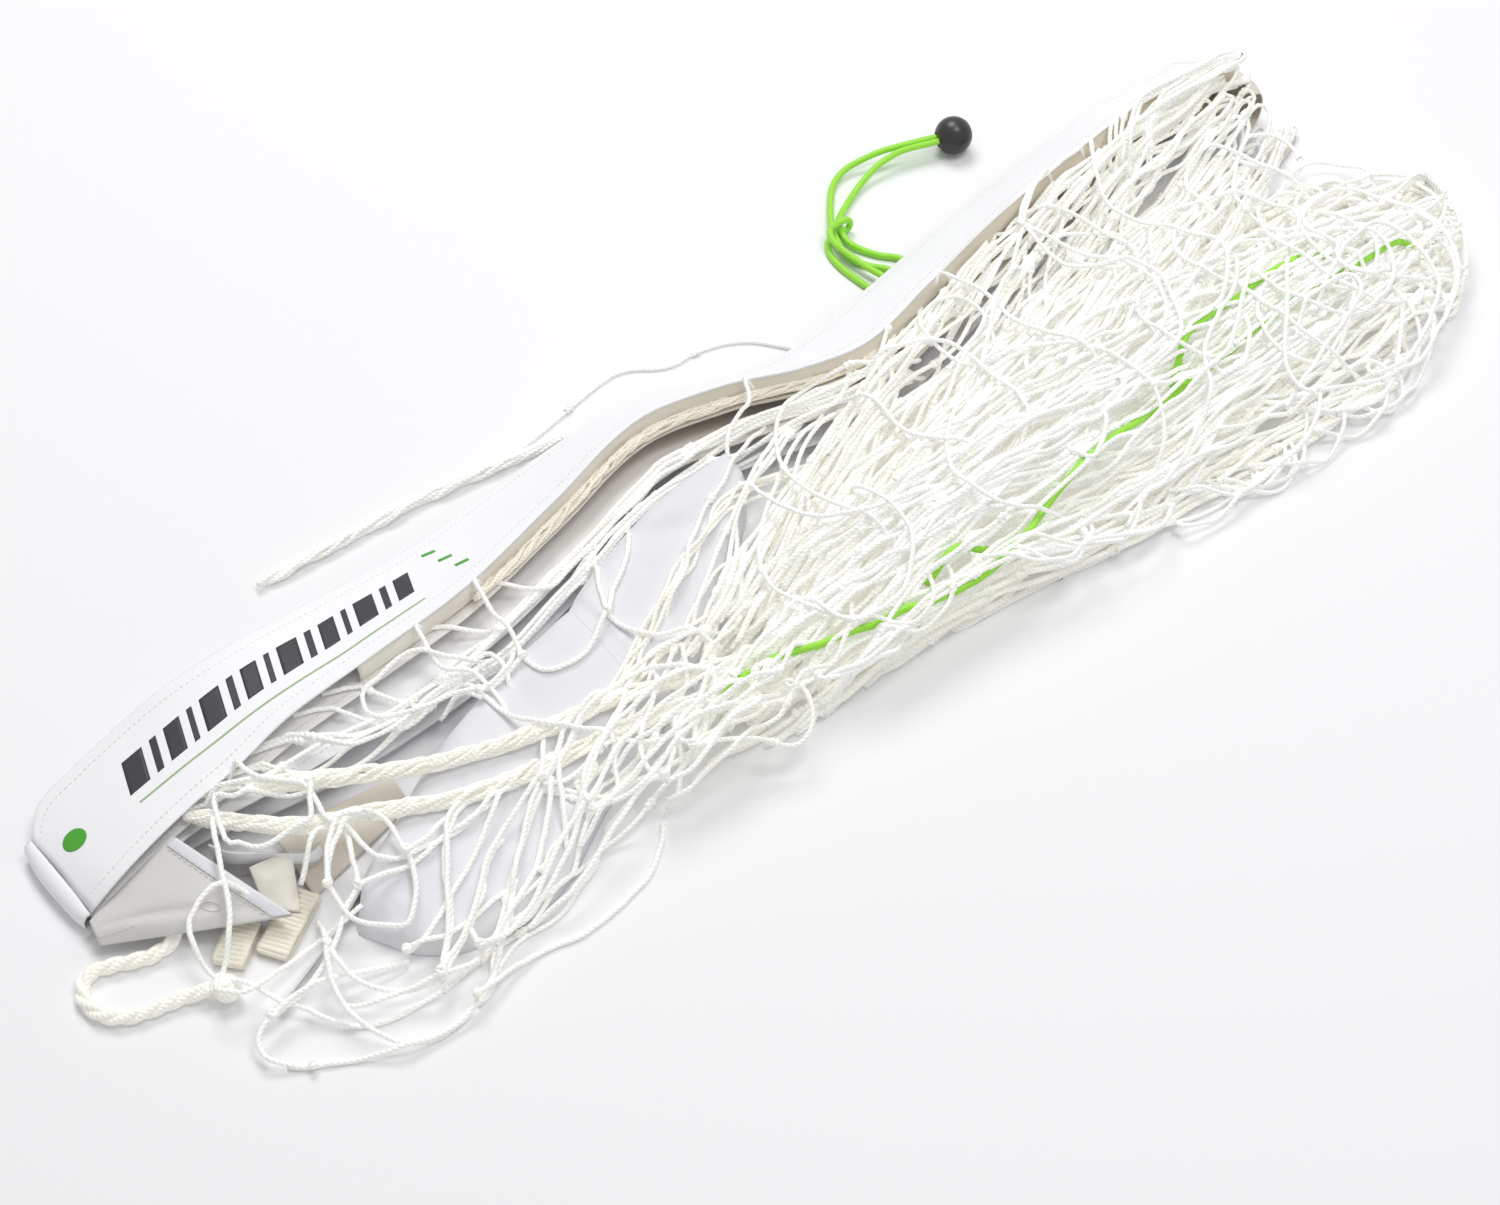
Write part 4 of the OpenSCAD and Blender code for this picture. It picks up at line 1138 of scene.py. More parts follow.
def gather_path(dice, step):
    """One length of the gathered net: from the narrow left end, a hairpin at the right end, and back."""
    share = dice.random()
    home_share = float(np.clip(share + dice.choice([-1, 1]) * dice.uniform(0.08, 0.55), 0.0, 1.0))
    turn = 556 - 230 * dice.random() ** 1.15

    def leg(at, right):
        """Slants down to the left, as the whole gather does."""
        left = dice.uniform(-165, 30)
        front, back = heap_sides(np.array([left, right]))
        low = front[0] + (back[0] - front[0]) * np.clip(at + dice.uniform(-0.35, 0.35), 0.03, 0.97)
        high = front[1] + (back[1] - front[1]) * (0.04 + 0.92 * at)
        t = np.linspace(0, 1, 40)
        bow = dice.uniform(-16, 10)
        y = low + (high - low) * t ** 0.8 + bow * np.sin(math.pi * t)
        return np.column_stack([left + (right - left) * t, y])
    out, home = leg(share, turn), leg(home_share, turn)[::-1]
    bulge = min(38.0, 8 + abs(out[-1, 1] - home[0, 1]) * 0.5, 562 - turn)
    t = np.linspace(0, 1, 14)[1:-1, None]
    a, d = out[-1], home[0]
    b, c = a + [bulge * 1.3, 0], d + [bulge * 1.3, 0]
    hairpin = (1 - t) ** 3 * a + 3 * (1 - t) ** 2 * t * b + 3 * (1 - t) * t ** 2 * c + t ** 3 * d
    path = np.concatenate([out, hairpin, home])
    return ruffled(path, dice.uniform(2, 9), dice.uniform(110, 300), dice, step)


def kept_in(path):
    """The path held inside the outline of the heap, 2 mm from its sides."""
    x = np.clip(path[:, 0], -175, 556)
    front, back = heap_sides(x)
    y = np.clip(path[:, 1], front + 2.0, np.maximum(front + 2.0, back - 2.0))
    return np.column_stack([x, y])


def ends_hidden(path, radius):
    """A laid strand whose ends go under the printed ply, into a knot, or down among the other strands."""
    for _ in range(2):
        path = path[::-1]
        x, y = path[0, :2]
        if min(math.hypot(x - kx, y - ky) for kx, ky in KNOTS) < 8:
            continue
        if -500 < x < 502 and abs(y - edge_front(x)) < 6:
            ply = run_section(SECOND, x)[2] + radius + 0.5
            lead = math.copysign(1.0, path[0, 0] - path[1, 0])
            path = np.concatenate([[[x + 22 * lead, edge_front(x + 22 * lead) + 7, ply],
                                    [x + 8 * lead, edge_front(x + 8 * lead) + 0.5, ply]], path])
        else:
            dive = np.clip(1 - run_along(path) / 26, 0, 1)
            path = path - np.column_stack([dive * 0, dive * 0, 13 * dive * dive * (3 - 2 * dive)])
            path[:, 2] = np.maximum(path[:, 2], radius)
    return path


def settled(path, radius, slope, tint, spread, dice):
    """A strand laid on the field along a path, its ends hidden and its mesh knots on it."""
    strand = ends_hidden(lay(path, radius, slope), radius)
    return twine(strand, radius, float(np.clip(tint + dice.uniform(-spread, spread), 0, 1)), dice)


def fill(target, make, radius, step, most, tries, tint, seed, stop=0.6, slope=0.42):
    """Lay strands one after another where the field is furthest below its target."""
    dice = np.random.default_rng(seed)
    made = []
    for _ in range(most):
        best, lack = None, -1e9
        for _ in range(tries):
            path = make(dice, step)
            want = target(path[:, 0], path[:, 1]) - FIELD[cells_of(path[:, 0], path[:, 1])]
            score = np.mean(np.clip(want, -9, 14))
            if score > lack:
                best, lack = path, score
        if lack < stop:
            break
        made.append(settled(best, radius, slope, tint, 0.22, dice))
    return made


def strew(make, radius, step, count, tint, seed, slope=0.42):
    """Lay that many strands one after another, each where its rule puts it."""
    dice = np.random.default_rng(seed)
    return [settled(make(dice, step), radius, slope, tint, 0.22, dice) for _ in range(count)]


# Lines that the twine of the fan follows, from the right end of the sleeve to the left end of the heap
FLOW_LINES = [
    [(545, 95), (446, 98), (378, 91), (266, 75), (182, 54), (115, 37), (55, 31), (-5, 14), (-85, -34),
     (-170, -75)],
    [(530, 92), (468, 90), (376, 71), (293, 45), (209, 17), (111, -28), (27, -64), (-40, -83), (-95, -91),
     (-170, -97)],
    [(545, 57), (423, -2), (338, -35), (250, -65), (161, -90), (87, -101), (21, -109), (-50, -118),
     (-110, -118), (-190, -122)]]
FLOW_STEPS = np.linspace(0, 1, 10)


def flow(line, share):
    """Points of the flow: line from 0 at the sleeve's edge to 2 in mid-heap, share from the right end."""
    lines = np.array(FLOW_LINES, float)
    low = np.clip(line.astype(int), 0, 1)
    stack = np.array([np.column_stack([np.interp(share, FLOW_STEPS, line_at[:, c]) for c in (0, 1)])
                      for line_at in lines])
    rows = np.arange(len(share))
    part = (line - low)[:, None]
    return stack[low, rows] * (1 - part) + stack[low + 1, rows] * part


def fan_path(dice, step):
    """A length of the fan down over the heap: from under the printed ply, or turned back at the right end."""
    goal, last = 0.1 + 2.0 * dice.random() ** 1.25, dice.uniform(0.42, 1.0)
    if dice.random() < 0.42:
        first = dice.uniform(0.02, 0.44)
        share = np.linspace(first, last, 9)
        path = flow(goal * np.clip((share - first) / 0.3, 0, 1), share)
        x = min(path[0, 0] + 46, 498.0)
        path = np.concatenate([[[x, float(edge_front(x)) - 4.5]], path])
    else:
        first = 0.11 * dice.random() ** 0.8
        share = np.linspace(first, last, 9)
        near = float(np.clip(goal + dice.choice([-1, 1]) * dice.uniform(0.06, 0.35), 0.12, 2.1))
        legs = [flow(np.clip(np.linspace(g, g + dice.uniform(-0.45, 0.45), 9), 0.1, 2.15), share)
                for g in (goal, near)]
        out = legs[0][0] - legs[0][1]
        tip = (legs[0][0] + legs[1][0]) / 2 + out / np.linalg.norm(out) * dice.uniform(6, 13)
        path = np.concatenate([legs[0][::-1], [tip], legs[1]])
        path[:, 0] = np.minimum(path[:, 0], 556)
    return ruffled(rounded(path, 3), dice.uniform(1.5, 5), dice.uniform(110, 280), dice, step)


def drape_path(dice, step):
    """A length that leaves the steps of the sleeve and crosses the right end of the middle panel."""
    first = dice.uniform(0.36, 0.62)
    share = np.linspace(first, dice.uniform(0.88, 1.0), 6)
    path = flow(np.clip(dice.uniform(0, 0.45) + 0.25 * (share - first), 0, 1), share)
    x = path[0, 0] + 40
    return ruffled(rounded(np.concatenate([[[x, float(edge_front(x)) - 4.5]], path]), 3), dice.uniform(2, 5),
                   dice.uniform(110, 240), dice, step)


def cover_path(dice, step):
    """A length that comes down from the steps of the sleeve over the right end of the middle panel."""
    x = 10 + 132 * dice.random()
    top = np.array([x, float(edge_front(x)) - 30])
    way = np.array([[14, 4], [0, 0], [-45, -22], [-95, -56], [-150, -92]], float)
    way[2:] += dice.uniform(-7, 7, (3, 2))
    return ruffled(rounded(top + way, 3), dice.uniform(1.5, 5), dice.uniform(90, 220), dice, step)


def tip_path(dice, step):
    """A length that runs along the edge of the printed run to its right end and turns back there."""
    x, near, far = dice.uniform(410, 455), dice.uniform(-10, 4), dice.uniform(-14, 5)
    turn = dice.uniform(505, 524)
    out = [(t, float(edge_front(t)) + near) for t in np.linspace(x, turn, 6)]
    home = [(t, float(edge_front(t)) + far) for t in np.linspace(turn, x - 40, 8)]
    home[-1] = (home[-1][0], home[-1][1] - 22)
    tip = (turn + 8, (out[-1][1] + home[0][1]) / 2)
    path = np.array([(x - 40, float(edge_front(x - 40)) - 24)] + out + [tip] + home)
    path[:, 0] = np.minimum(path[:, 0], 530)
    return ruffled(rounded(path, 3), dice.uniform(1, 3), dice.uniform(90, 220), dice, step)


def fan_height(x, y):
    """Height of twine wanted over the steps of the sleeve and the back of the heap."""
    away = edge_front(x) - y
    wanted = np.interp(x, [-150, 60, 200, 420, 540], [2, 6, 13, 15, 10])
    base = np.interp(away, [0, 8, 34, 60], [46, 34, 20, 10])
    over_panels = (x < 70) & (y > -75)
    return np.where(over_panels, 49, np.where(away < 60, base + wanted, heap_height(x, y) + 3))


def step_path(dice, step):
    """A length that follows the steps of the sleeve from its right part to its left end."""
    x0, x1 = dice.uniform(60, 480), dice.choice([dice.uniform(-420, -330), dice.uniform(-330, -150)])
    x = np.arange(x1, x0, 12.0)
    # Left of the gather the twine lies on the lowest step, further right nearer to the printed ply
    off = np.interp(x, [-430, -290, -60, 60, 480], [31, 38, 34, 18, 15])
    off = off + dice.uniform(-9, 8) + 3 * np.sin(x / 90 + dice.uniform(0, 6))
    path = np.column_stack([x, edge_front(x) - off])
    ends = [[x1 - 22, edge_front(x1 - 22) - 4.5]], [[x0 + 18, edge_front(x0 + 18) - 4.5]]
    return ruffled(rounded(np.concatenate([ends[0], path, ends[1]]), 2), dice.uniform(1, 2.5),
                   dice.uniform(120, 300), dice, step)


def rim_loop(dice, step):
    """A loose length on the floor that bows out past the front of the heap."""
    x, reach, out = dice.uniform(-90, 470), dice.uniform(26, 70), dice.uniform(2, 15)
    xs = np.array([x - reach, x - reach * 0.5, x, x + reach * 0.5, x + reach])
    front, _ = heap_sides(np.clip(xs, -150, 520))
    ys = np.maximum(front + [22, -out * 0.5, -out, -out * 0.4, 24], -190)
    return ruffled(rounded(np.column_stack([xs, ys]), 3), 1.5, 80, dice, step)


def spray_path(dice, step):
    """A length from the left end of the heap over the plain panels to the skirt on the floor."""
    goals = ((-250, -114), (-205, -133), (-382, -148), (-386, -119), (-354, -148), (-261, -85), (-372, -168),
             (-250, -114), (-205, -133), (-180, -128), (-205, -133))
    goal = np.array(goals[dice.integers(len(goals))], float)
    start = np.array([dice.uniform(-170, -30), dice.uniform(-125, -35)])
    middle = (start + goal) / 2 + dice.normal(0, 16, 2)
    return ruffled(rounded([start, middle, goal], 3), dice.uniform(3, 10), dice.uniform(90, 200), dice, step)


def curl(dice, step, start, heading, length, tight):
    """A slack loop of net that wanders over the heap with the given tightness of bend in mm."""
    run = np.arange(0, length, step)
    way = dice.choice([-1, 1])
    bend = way / tight * (0.75 + waves(run, 0.75, length * 0.9, dice, 3))
    bend = np.clip(bend, -1 / 13, 1 / 13)
    turn = heading + np.cumsum(bend) * step
    return np.array(start) + np.cumsum(np.column_stack([np.cos(turn), np.sin(turn)]) * step, axis=0)


def in_net(path):
    """Share of a path that lies on the net or on the steps of the sleeve beside it."""
    x, y = path[:, 0], path[:, 1]
    front, back = heap_sides(np.clip(x, -150, 555))
    steps = (x > 0) & (x < 535) & (y < edge_front(x) - 4) & (y > back)
    return np.mean(((x > -170) & (x < 562) & (y > front - 9) & (y < back + 4)) | steps)


def curls(count, seed, radius, tint, zone, lengths, tights, share=0.97):
    """Slack loops that start in a zone and lie on top of the gathered net."""
    dice = np.random.default_rng(seed)
    made = []
    while len(made) < count:
        start = [dice.uniform(*zone[0]), dice.uniform(*zone[1])]
        heading = dice.uniform(0, 2 * math.pi)
        path = curl(dice, 4.0, start, heading, dice.uniform(*lengths), dice.uniform(*tights))
        if in_net(path) > share and path[:, 0].max() < 561:
            made.append(settled(path, radius, 0.36, tint, 0.1, dice))
    return made


def gathered(route, count, width, twine_width, seed, slack=0.5, lay_length=120.0, step=3.0):
    """Twines that run together along a route in mm, turning round each other, and the route's points."""
    points = evenly(rounded(route, 2), step)
    _, side, up = axes_along(points)
    run = np.arange(len(points)) * step
    dice = np.random.default_rng(seed)
    reach = (width - twine_width) / 2
    made = []
    for k in range(count):
        angle = 2 * math.pi * (k / count + run / lay_length) + waves(run, 1.1 * slack, 110, dice)
        out = reach * (0.25 if k == 0 else 1) * np.clip(0.86 + waves(run, 0.2 * slack, 60, dice), 0.35, 1)
        # The ends draw together
        out = out * np.clip(0.35 + np.minimum(run, run[-1] - run) / 22, 0, 1)
        made.append(round_about(points, side, up, out, angle))
    return made, points


# ---- Routes of the net's ropes, cords and loose lengths, in mm
HEAD_UPPER = [(-404, 14, 52), (-366, -6, 46), (-312, -34, 41), (-250, -54, 36.5), (-190, -64, 37),
              (-140, -80, 36), (-112, -94, 42)]
HEAD_LOWER = [(-438, 31, 34), (-424, 15, 36), (-409, -3, 37), (-392, -20, 36), (-356, -40, 40),
              (-304, -66, 35.5), (-246, -76, 32.5), (-190, -82, 30), (-142, -100, 28), (-118, -112, 36)]
BACK_ROPE = [(-294, 176, 5), (-240, 173, 5), (-160, 168, 5), (-92, 158, 5), (-50, 150, 5)]
BACK_LOOP = [(-96, 164.6, 2), (-52, 172, 2), (-14, 180, 2), (10, 181, 2), (34, 160, 2), (60, 162, 2),
             (92, 150, 2), (112, 122, 2), (116, 113.4, 2)]
LACING = [(x, curve_value(COURSE, x, FRONT_Y) - 8 * curve_value(COURSE, x, STEP_SHARE) + 3.4,
           run_section(SECOND, x)[2] + 4.0) for x in range(-210, 131, 20)]
ELASTIC_ROUTES = [
    ("net_elastic_cord", [(-150, -104), (-123, -106), (-67, -117), (-7, -133), (42, -147), (106, -127),
                          (172, -114), (266, -99), (377, -96), (487, -97), (500, -108)], ["net_elastic"]),
    ("net_elastic_return", [(262, -96), (294, -75), (379, -66), (429, -70), (450, -82)], []),
    ("net_elastic_end", [(14, -123), (40, -118), (66, -124)], [])]


# Lengths of the net that hang loose: over the panels and the floor at its left, and in loops on the heap
SKIRT_ROUTES = [
    [(-398, 33), (-398, 12), (-389, 5), (-380, -3), (-374, -7), (-379, -29), (-375, -35), (-369, -39),
     (-370, -61), (-363, -70), (-355, -75), (-340, -76), (-326, -79), (-310, -80), (-285, -73),
     (-268, -73)],
    [(-372, -7), (-385, -29), (-389, -27), (-398, -23), (-411, -23), (-420, -17), (-425, -7), (-432, -7),
     (-422, 21), (-418, 23), (-415, 11), (-404, 10), (-395, 3), (-385, -1)],
    [(-420, 23), (-428, 15), (-442, -15), (-447, -28), (-452, -39), (-457, -45), (-466, -56), (-472, -59),
     (-479, -63)],
    [(-435, -36), (-440, -28), (-450, -22), (-462, -25), (-472, -30), (-476, -31), (-482, -45), (-482, -57),
     (-479, -63)],
    [(-479, -63), (-474, -73), (-468, -84), (-462, -100), (-453, -110), (-444, -124), (-434, -136),
     (-422, -142), (-409, -145), (-395, -147), (-382, -148)],
    [(-479, -63), (-486, -71), (-485, -79), (-479, -86), (-470, -88), (-462, -87), (-443, -83), (-425, -78),
     (-408, -78), (-388, -77)],
    [(-388, -77), (-377, -55), (-372, -43), (-372, -37), (-372, -35), (-370, -33)],
    [(-388, -77), (-401, -82), (-416, -93), (-433, -101), (-451, -106), (-470, -106)],
    [(-388, -77), (-374, -78), (-359, -80), (-344, -81), (-326, -79), (-310, -80), (-288, -73)],
    [(-402, -67), (-393, -52), (-380, -46), (-369, -39), (-362, -41), (-357, -45)],
    [(-402, -67), (-403, -79), (-402, -91), (-395, -99), (-386, -105), (-378, -111), (-367, -103),
     (-359, -93), (-353, -81), (-352, -71), (-351, -58), (-353, -47), (-357, -45)],
    [(-386, -119), (-403, -115), (-419, -111), (-434, -106), (-451, -104), (-470, -106), (-482, -109),
     (-488, -119), (-483, -129), (-468, -141)],
    [(-386, -119), (-376, -119), (-363, -117), (-344, -108), (-326, -101), (-304, -88), (-280, -75),
     (-267, -72)],
    [(-386, -119), (-375, -121), (-362, -126), (-347, -127), (-331, -127), (-316, -124), (-305, -117)],
    [(-382, -148), (-373, -138), (-363, -129), (-357, -124), (-349, -111), (-341, -97), (-331, -83),
     (-317, -73), (-303, -67), (-296, -62)],
    [(-382, -148), (-368, -140), (-353, -133), (-339, -124), (-325, -112), (-310, -101), (-283, -92)],
    [(-382, -148), (-392, -144), (-404, -139), (-414, -131), (-420, -122), (-423, -108), (-422, -93),
     (-415, -75), (-410, -62)],
    [(-372, -168), (-388, -171), (-404, -171), (-417, -167), (-426, -159), (-432, -145), (-437, -132),
     (-435, -118), (-430, -104), (-422, -93)],
    [(-372, -168), (-382, -173), (-405, -172), (-423, -166), (-446, -154), (-468, -141), (-479, -131)],
    [(-372, -168), (-354, -162), (-339, -148), (-325, -137), (-312, -125), (-302, -117)],
    [(-354, -148), (-366, -150), (-379, -147), (-392, -144), (-408, -140), (-423, -134), (-433, -123)],
    [(-354, -148), (-352, -135), (-348, -129), (-338, -125), (-329, -120), (-325, -112), (-310, -101)],
    [(-308, -66), (-316, -66), (-330, -73), (-342, -75), (-353, -76)],
    [(-357, -45), (-366, -39), (-373, -35), (-386, -45), (-394, -55), (-402, -67)],
    [(-371, -32), (-380, -31), (-384, -30), (-396, -37), (-409, -47)],
    [(-250, -114), (-242, -100), (-226, -89), (-210, -83), (-186, -73), (-170, -77), (-148, -78)],
    [(-250, -114), (-236, -107), (-215, -97), (-190, -89), (-167, -90), (-142, -93), (-120, -95)],
    [(-250, -114), (-263, -121), (-278, -132), (-291, -137), (-320, -147), (-345, -150), (-354, -148)],
    [(-274, -125), (-259, -103), (-248, -85), (-236, -77), (-218, -65), (-194, -61), (-166, -59),
     (-151, -75), (-128, -90)],
    [(-261, -85), (-248, -80), (-227, -65), (-208, -61), (-182, -51)],
    [(-328, -143), (-321, -133), (-305, -117), (-282, -98), (-261, -85), (-243, -63), (-234, -51)],
    [(-205, -133), (-191, -138), (-174, -136), (-155, -128), (-139, -129), (-129, -130), (-121, -121),
     (-123, -115)],
    [(-211, -137), (-225, -152), (-245, -163), (-266, -167), (-290, -169), (-305, -167), (-320, -163),
     (-340, -163), (-372, -168)],
    [(-205, -133), (-208, -125), (-204, -108), (-191, -93), (-182, -91), (-165, -76), (-156, -59)],
    [(-205, -133), (-189, -121), (-172, -106), (-152, -105), (-132, -109), (-114, -115)],
    [(-180, -128), (-184, -121), (-180, -110), (-166, -96), (-159, -99)],
    [(-125, 43), (-145, 5), (-154, -13), (-151, -30), (-140, -45), (-120, -55), (-110, -71)],
    [(-154, -13), (-135, 3), (-118, 13), (-103, 30), (-90, 46)],
    [(-207, 54), (-210, 27), (-207, 18), (-215, -6), (-213, -21), (-200, -27), (-186, -27), (-170, -21),
     (-154, -13)],
    [(-215, -6), (-230, -10), (-241, -10), (-247, -5)],
    [(-261, 17), (-252, 13), (-249, -5), (-249, -26), (-243, -49), (-232, -62), (-218, -79), (-195, -87)],
    [(-259, 20), (-240, 16), (-223, 15), (-230, -13), (-240, -31)],
    [(-252, -13), (-259, 5), (-273, 3)],
    [(-74, -122), (-84, -131), (-84, -139), (-64, -142), (-49, -146), (-25, -144)],
    [(-320, -147), (-298, -150), (-277, -147), (-247, -137), (-235, -133), (-216, -128), (-205, -133)],
    [(-382, -148), (-374, -138), (-367, -132), (-360, -127), (-348, -109), (-333, -87), (-320, -72),
     (-297, -63)],
    [(-382, -148), (-371, -143), (-360, -137), (-339, -125), (-324, -111), (-306, -99), (-285, -91),
     (-265, -85)],
    [(-354, -148), (-345, -149), (-325, -140), (-309, -131), (-290, -120), (-272, -105), (-254, -87)],
    [(-354, -148), (-340, -152), (-326, -149), (-309, -141), (-288, -131), (-273, -123), (-260, -118),
     (-250, -114)],
    [(-251, -119), (-231, -128), (-213, -129), (-194, -122), (-169, -114), (-146, -114), (-128, -115),
     (-107, -121)],
    [(-267, -129), (-246, -124), (-219, -118), (-191, -113), (-163, -113), (-143, -122), (-123, -121)],
    [(-261, -117), (-240, -101), (-217, -89), (-198, -83), (-172, -79), (-147, -82), (-126, -91)],
    [(-221, -102), (-202, -98), (-188, -103), (-169, -102), (-152, -105), (-140, -107)]]
LOOP_ROUTES = [
    [(196, 65), (211, 46), (215, 25), (213, -15), (223, -43), (228, -71)],
    [(370, 97), (343, 59), (343, 43), (356, 22), (369, -3), (381, -25), (360, -53), (327, -71), (303, -74),
     (290, -79), (275, -89)],
    [(279, 68), (276, 59), (277, 31), (292, 8), (319, -5), (312, -39), (297, -67), (276, -84), (254, -87),
     (239, -75)],
    [(415, -57), (394, -73), (359, -106), (331, -131), (325, -151), (336, -161)],
    [(358, -117), (375, -106), (396, -104), (424, -102), (426, -115), (409, -127), (375, -133), (339, -147),
     (316, -150)],
    [(275, -104), (292, -117), (310, -117), (338, -93), (350, -71)],
    [(95, 39), (136, 29), (166, 11), (158, -33), (155, -60), (149, -73), (130, -83)],
    [(-18, 31), (-4, 53), (14, 60), (25, 60), (31, 75)],
    [(-22, 32), (-16, 19), (-20, -11), (-15, -49), (12, -71), (46, -75), (76, -75)],
    [(79, 35), (72, 22), (85, 11), (78, -34), (93, -56), (116, -74)],
    [(30, -30), (23, -58), (26, -83), (25, -99), (1, -121), (-25, -127), (-47, -124), (-54, -103),
     (-55, -81), (-52, -72)],
    [(161, -93), (155, -105), (156, -122), (168, -119), (187, -107), (196, -93), (193, -82)],
    [(202, -157), (192, -175), (205, -179), (224, -183), (253, -179), (280, -180), (306, -181), (328, -169),
     (336, -161)],
    [(94, -159), (136, -164), (162, -174), (181, -172), (196, -162)],
    [(-12, -141), (-6, -141), (-26, -144), (-51, -144), (-75, -139), (-85, -136), (-80, -125)],
    [(162, -154), (182, -152), (200, -152), (232, -140), (248, -133), (263, -118)],
    [(415, -57), (476, -28), (514, -33), (518, -65), (522, -95), (514, -123), (502, -142), (472, -159),
     (428, -177), (402, -175), (359, -168), (335, -163)],
    [(384, -111), (438, -83), (485, -79), (487, -110), (482, -135), (472, -149), (423, -172), (393, -168)],
    [(410, -154), (400, -151), (384, -163), (394, -171), (407, -173), (416, -168), (418, -156)],
    [(272, 66), (296, 87), (324, 91), (358, 95)],
    [(94, -27), (131, -15), (192, 19), (242, 43), (267, 60), (296, 83), (321, 91)],
    [(465, -79), (443, -77), (422, -93), (429, -105), (441, -119), (468, -109)],
    [(155, -18), (207, 22), (231, 41), (251, 44), (267, 56)],
    [(248, -133), (272, -122), (284, -99), (311, -81), (352, -66), (388, -34)],
    [(394, -48), (365, -63), (325, -92), (296, -107), (270, -111), (216, -117), (174, -123)],
    [(-255, 49), (-256, 41), (-261, 17), (-250, 13), (-240, 7), (-246, -29), (-241, -43)],
    [(-225, 16), (-250, 16), (-266, 41), (-293, 39), (-307, 39), (-312, 21), (-293, 7), (-261, 3),
     (-247, -12), (-227, -8), (-218, 0)]]
# Mesh knots where these lengths meet
KNOTS = [
    (-372, -7), (-388, -77), (-402, -67), (-357, -45), (-386, -119), (-382, -148), (-372, -168), (-354, -148),
    (-422, -93), (-353, -76), (-250, -114), (-205, -133), (-154, -13), (-215, -6), (-250, -9), (-261, -85),
    (-103, -128), (-293, -127), (-180, -128), (-468, -141), (-470, -106), (285, -103), (326, -9), (274, 68),
    (196, -162), (337, -161), (418, -13), (-45, -131)]


def net_piece(name, strands, *node_names, sides=6, finish=NET_TWINE):
    """Twine of one part of the net, standing for its nodes."""
    made = tubes(name, strands, finish, sides=sides)
    dress(made, "twine", *node_names)
    return made


def on_heap(dice, step):
    """A length of the gathered net that stays inside the heap."""
    return kept_in(gather_path(dice, step))


def under_share(x):
    """Share of the depth under the loose layers: less at the left, under the fan, and at the right end."""
    return np.interp(x, [-60, 60, 260, 400, 545], [0.5, 0.55, 1.0, 1.0, 0.55])


def loose(routes, radius, tint, seed):
    """Lengths of net laid along their own routes."""
    dice = np.random.default_rng(seed)
    made = []
    for route in routes:
        path = evenly(rounded(route, 3), 4.0)
        path = path + np.column_stack([waves(np.arange(len(path)) * 4.0, 0.7, 60, dice) for _ in range(2)])
        strand = ends_hidden(lay(path, radius, slope=0.3, press=0.3), radius)
        made.append(twine(strand, radius, float(tint + dice.uniform(-0.1, 0.1)), dice, 0))
    return made


def mesh_knot(x, y, seed):
    """A pulled-tight netting knot that sits in the strands which meet in it."""
    z = float(np.max(FIELD[cells_of([x - 3, x, x + 3], [y, y, y])]))
    return wound_knot((x, y, max(3.4, z - 0.6)), 6.4, 2.5, turns=3, squash=1.15,
                      axis=(math.cos(seed), math.sin(seed), 0), seed=seed)


# ---- The net, from the lowest layer up: each layer rests on those laid before it
rest_on(sleeves + [front_panel, middle_panel, pocket, flap, end_flap, end_hem, lining, tape] + straps)
# Painted shade: the lower layers get a creamier tint than the upper ones, for their depth
deep = fill(lambda x, y: 0.55 * under_share(x) * heap_height(x, y), on_heap,
            radius=2.3, step=12.0, most=130, tries=5, tint=0.25, seed=11)
net_piece("net_gather_deep", deep, "net_heap", sides=5)
middle = fill(lambda x, y: 0.78 * under_share(x) * heap_height(x, y), on_heap,
              radius=1.7, step=7.0, most=150, tries=6, tint=0.5, seed=12)
net_piece("net_gather_body", middle, "net_strands")

# Head ropes: the net's edge gathered into two thick ropes, whose twines spread into the heap
HEAD_TWINE_R = 1.4
dice = np.random.default_rng(21)
for name, route, seed, node_name in (("head_rope_upper_twines", HEAD_UPPER, 31, "head_rope_upper"),
                                     ("head_rope_lower_twines", HEAD_LOWER, 37, "head_rope_lower")):
    lengths, core = gathered(route, 14, 12.4, 2 * HEAD_TWINE_R, seed, slack=0.9, lay_length=76)
    strands = []
    for k, points in enumerate(lengths):
        if k % 2 and route is HEAD_UPPER:
            # Every other twine of the upper rope leaves it early and runs up over the middle panel
            points = points[points[:, 0] < dice.uniform(-225, -160)]
            spread = dice.uniform(-1, 1)
            onward = [(-143, -46 + 12 * spread), (-94, -30 + 20 * spread), (-35, -2 + 22 * spread),
                      (35, 2 + 18 * spread), (dice.uniform(90, 210), 4 + 22 * spread)]
        else:
            # Past the end of the rope each twine goes its own way over the gather
            onward = [points[-1, :2] + [30, dice.uniform(-6, 10)],
                      (dice.uniform(20, 120), dice.uniform(-120, -20)),
                      (dice.uniform(150, 330), dice.uniform(-110, 10))]
        tail = evenly(rounded([points[-1, :2]] + onward, 3), 6.0)
        tail = lay(ruffled(tail, 4, 130, dice), HEAD_TWINE_R)
        join = points[-1, 2] - tail[0, 2]
        tail[:, 2] += join * np.exp(-np.arange(len(tail)) / 2.5) if join > 0 else 0
        strand = np.concatenate([points, tail[1:]])
        strand[-5:, 2] -= np.array([1, 4, 7, 10, 13])
        strands.append(twine(strand, HEAD_TWINE_R, float(dice.uniform(0.3, 0.9)), dice, 0))
    net_piece(name, strands, node_name, finish=HEAD_TWINE)
    mark(core, 5.5)

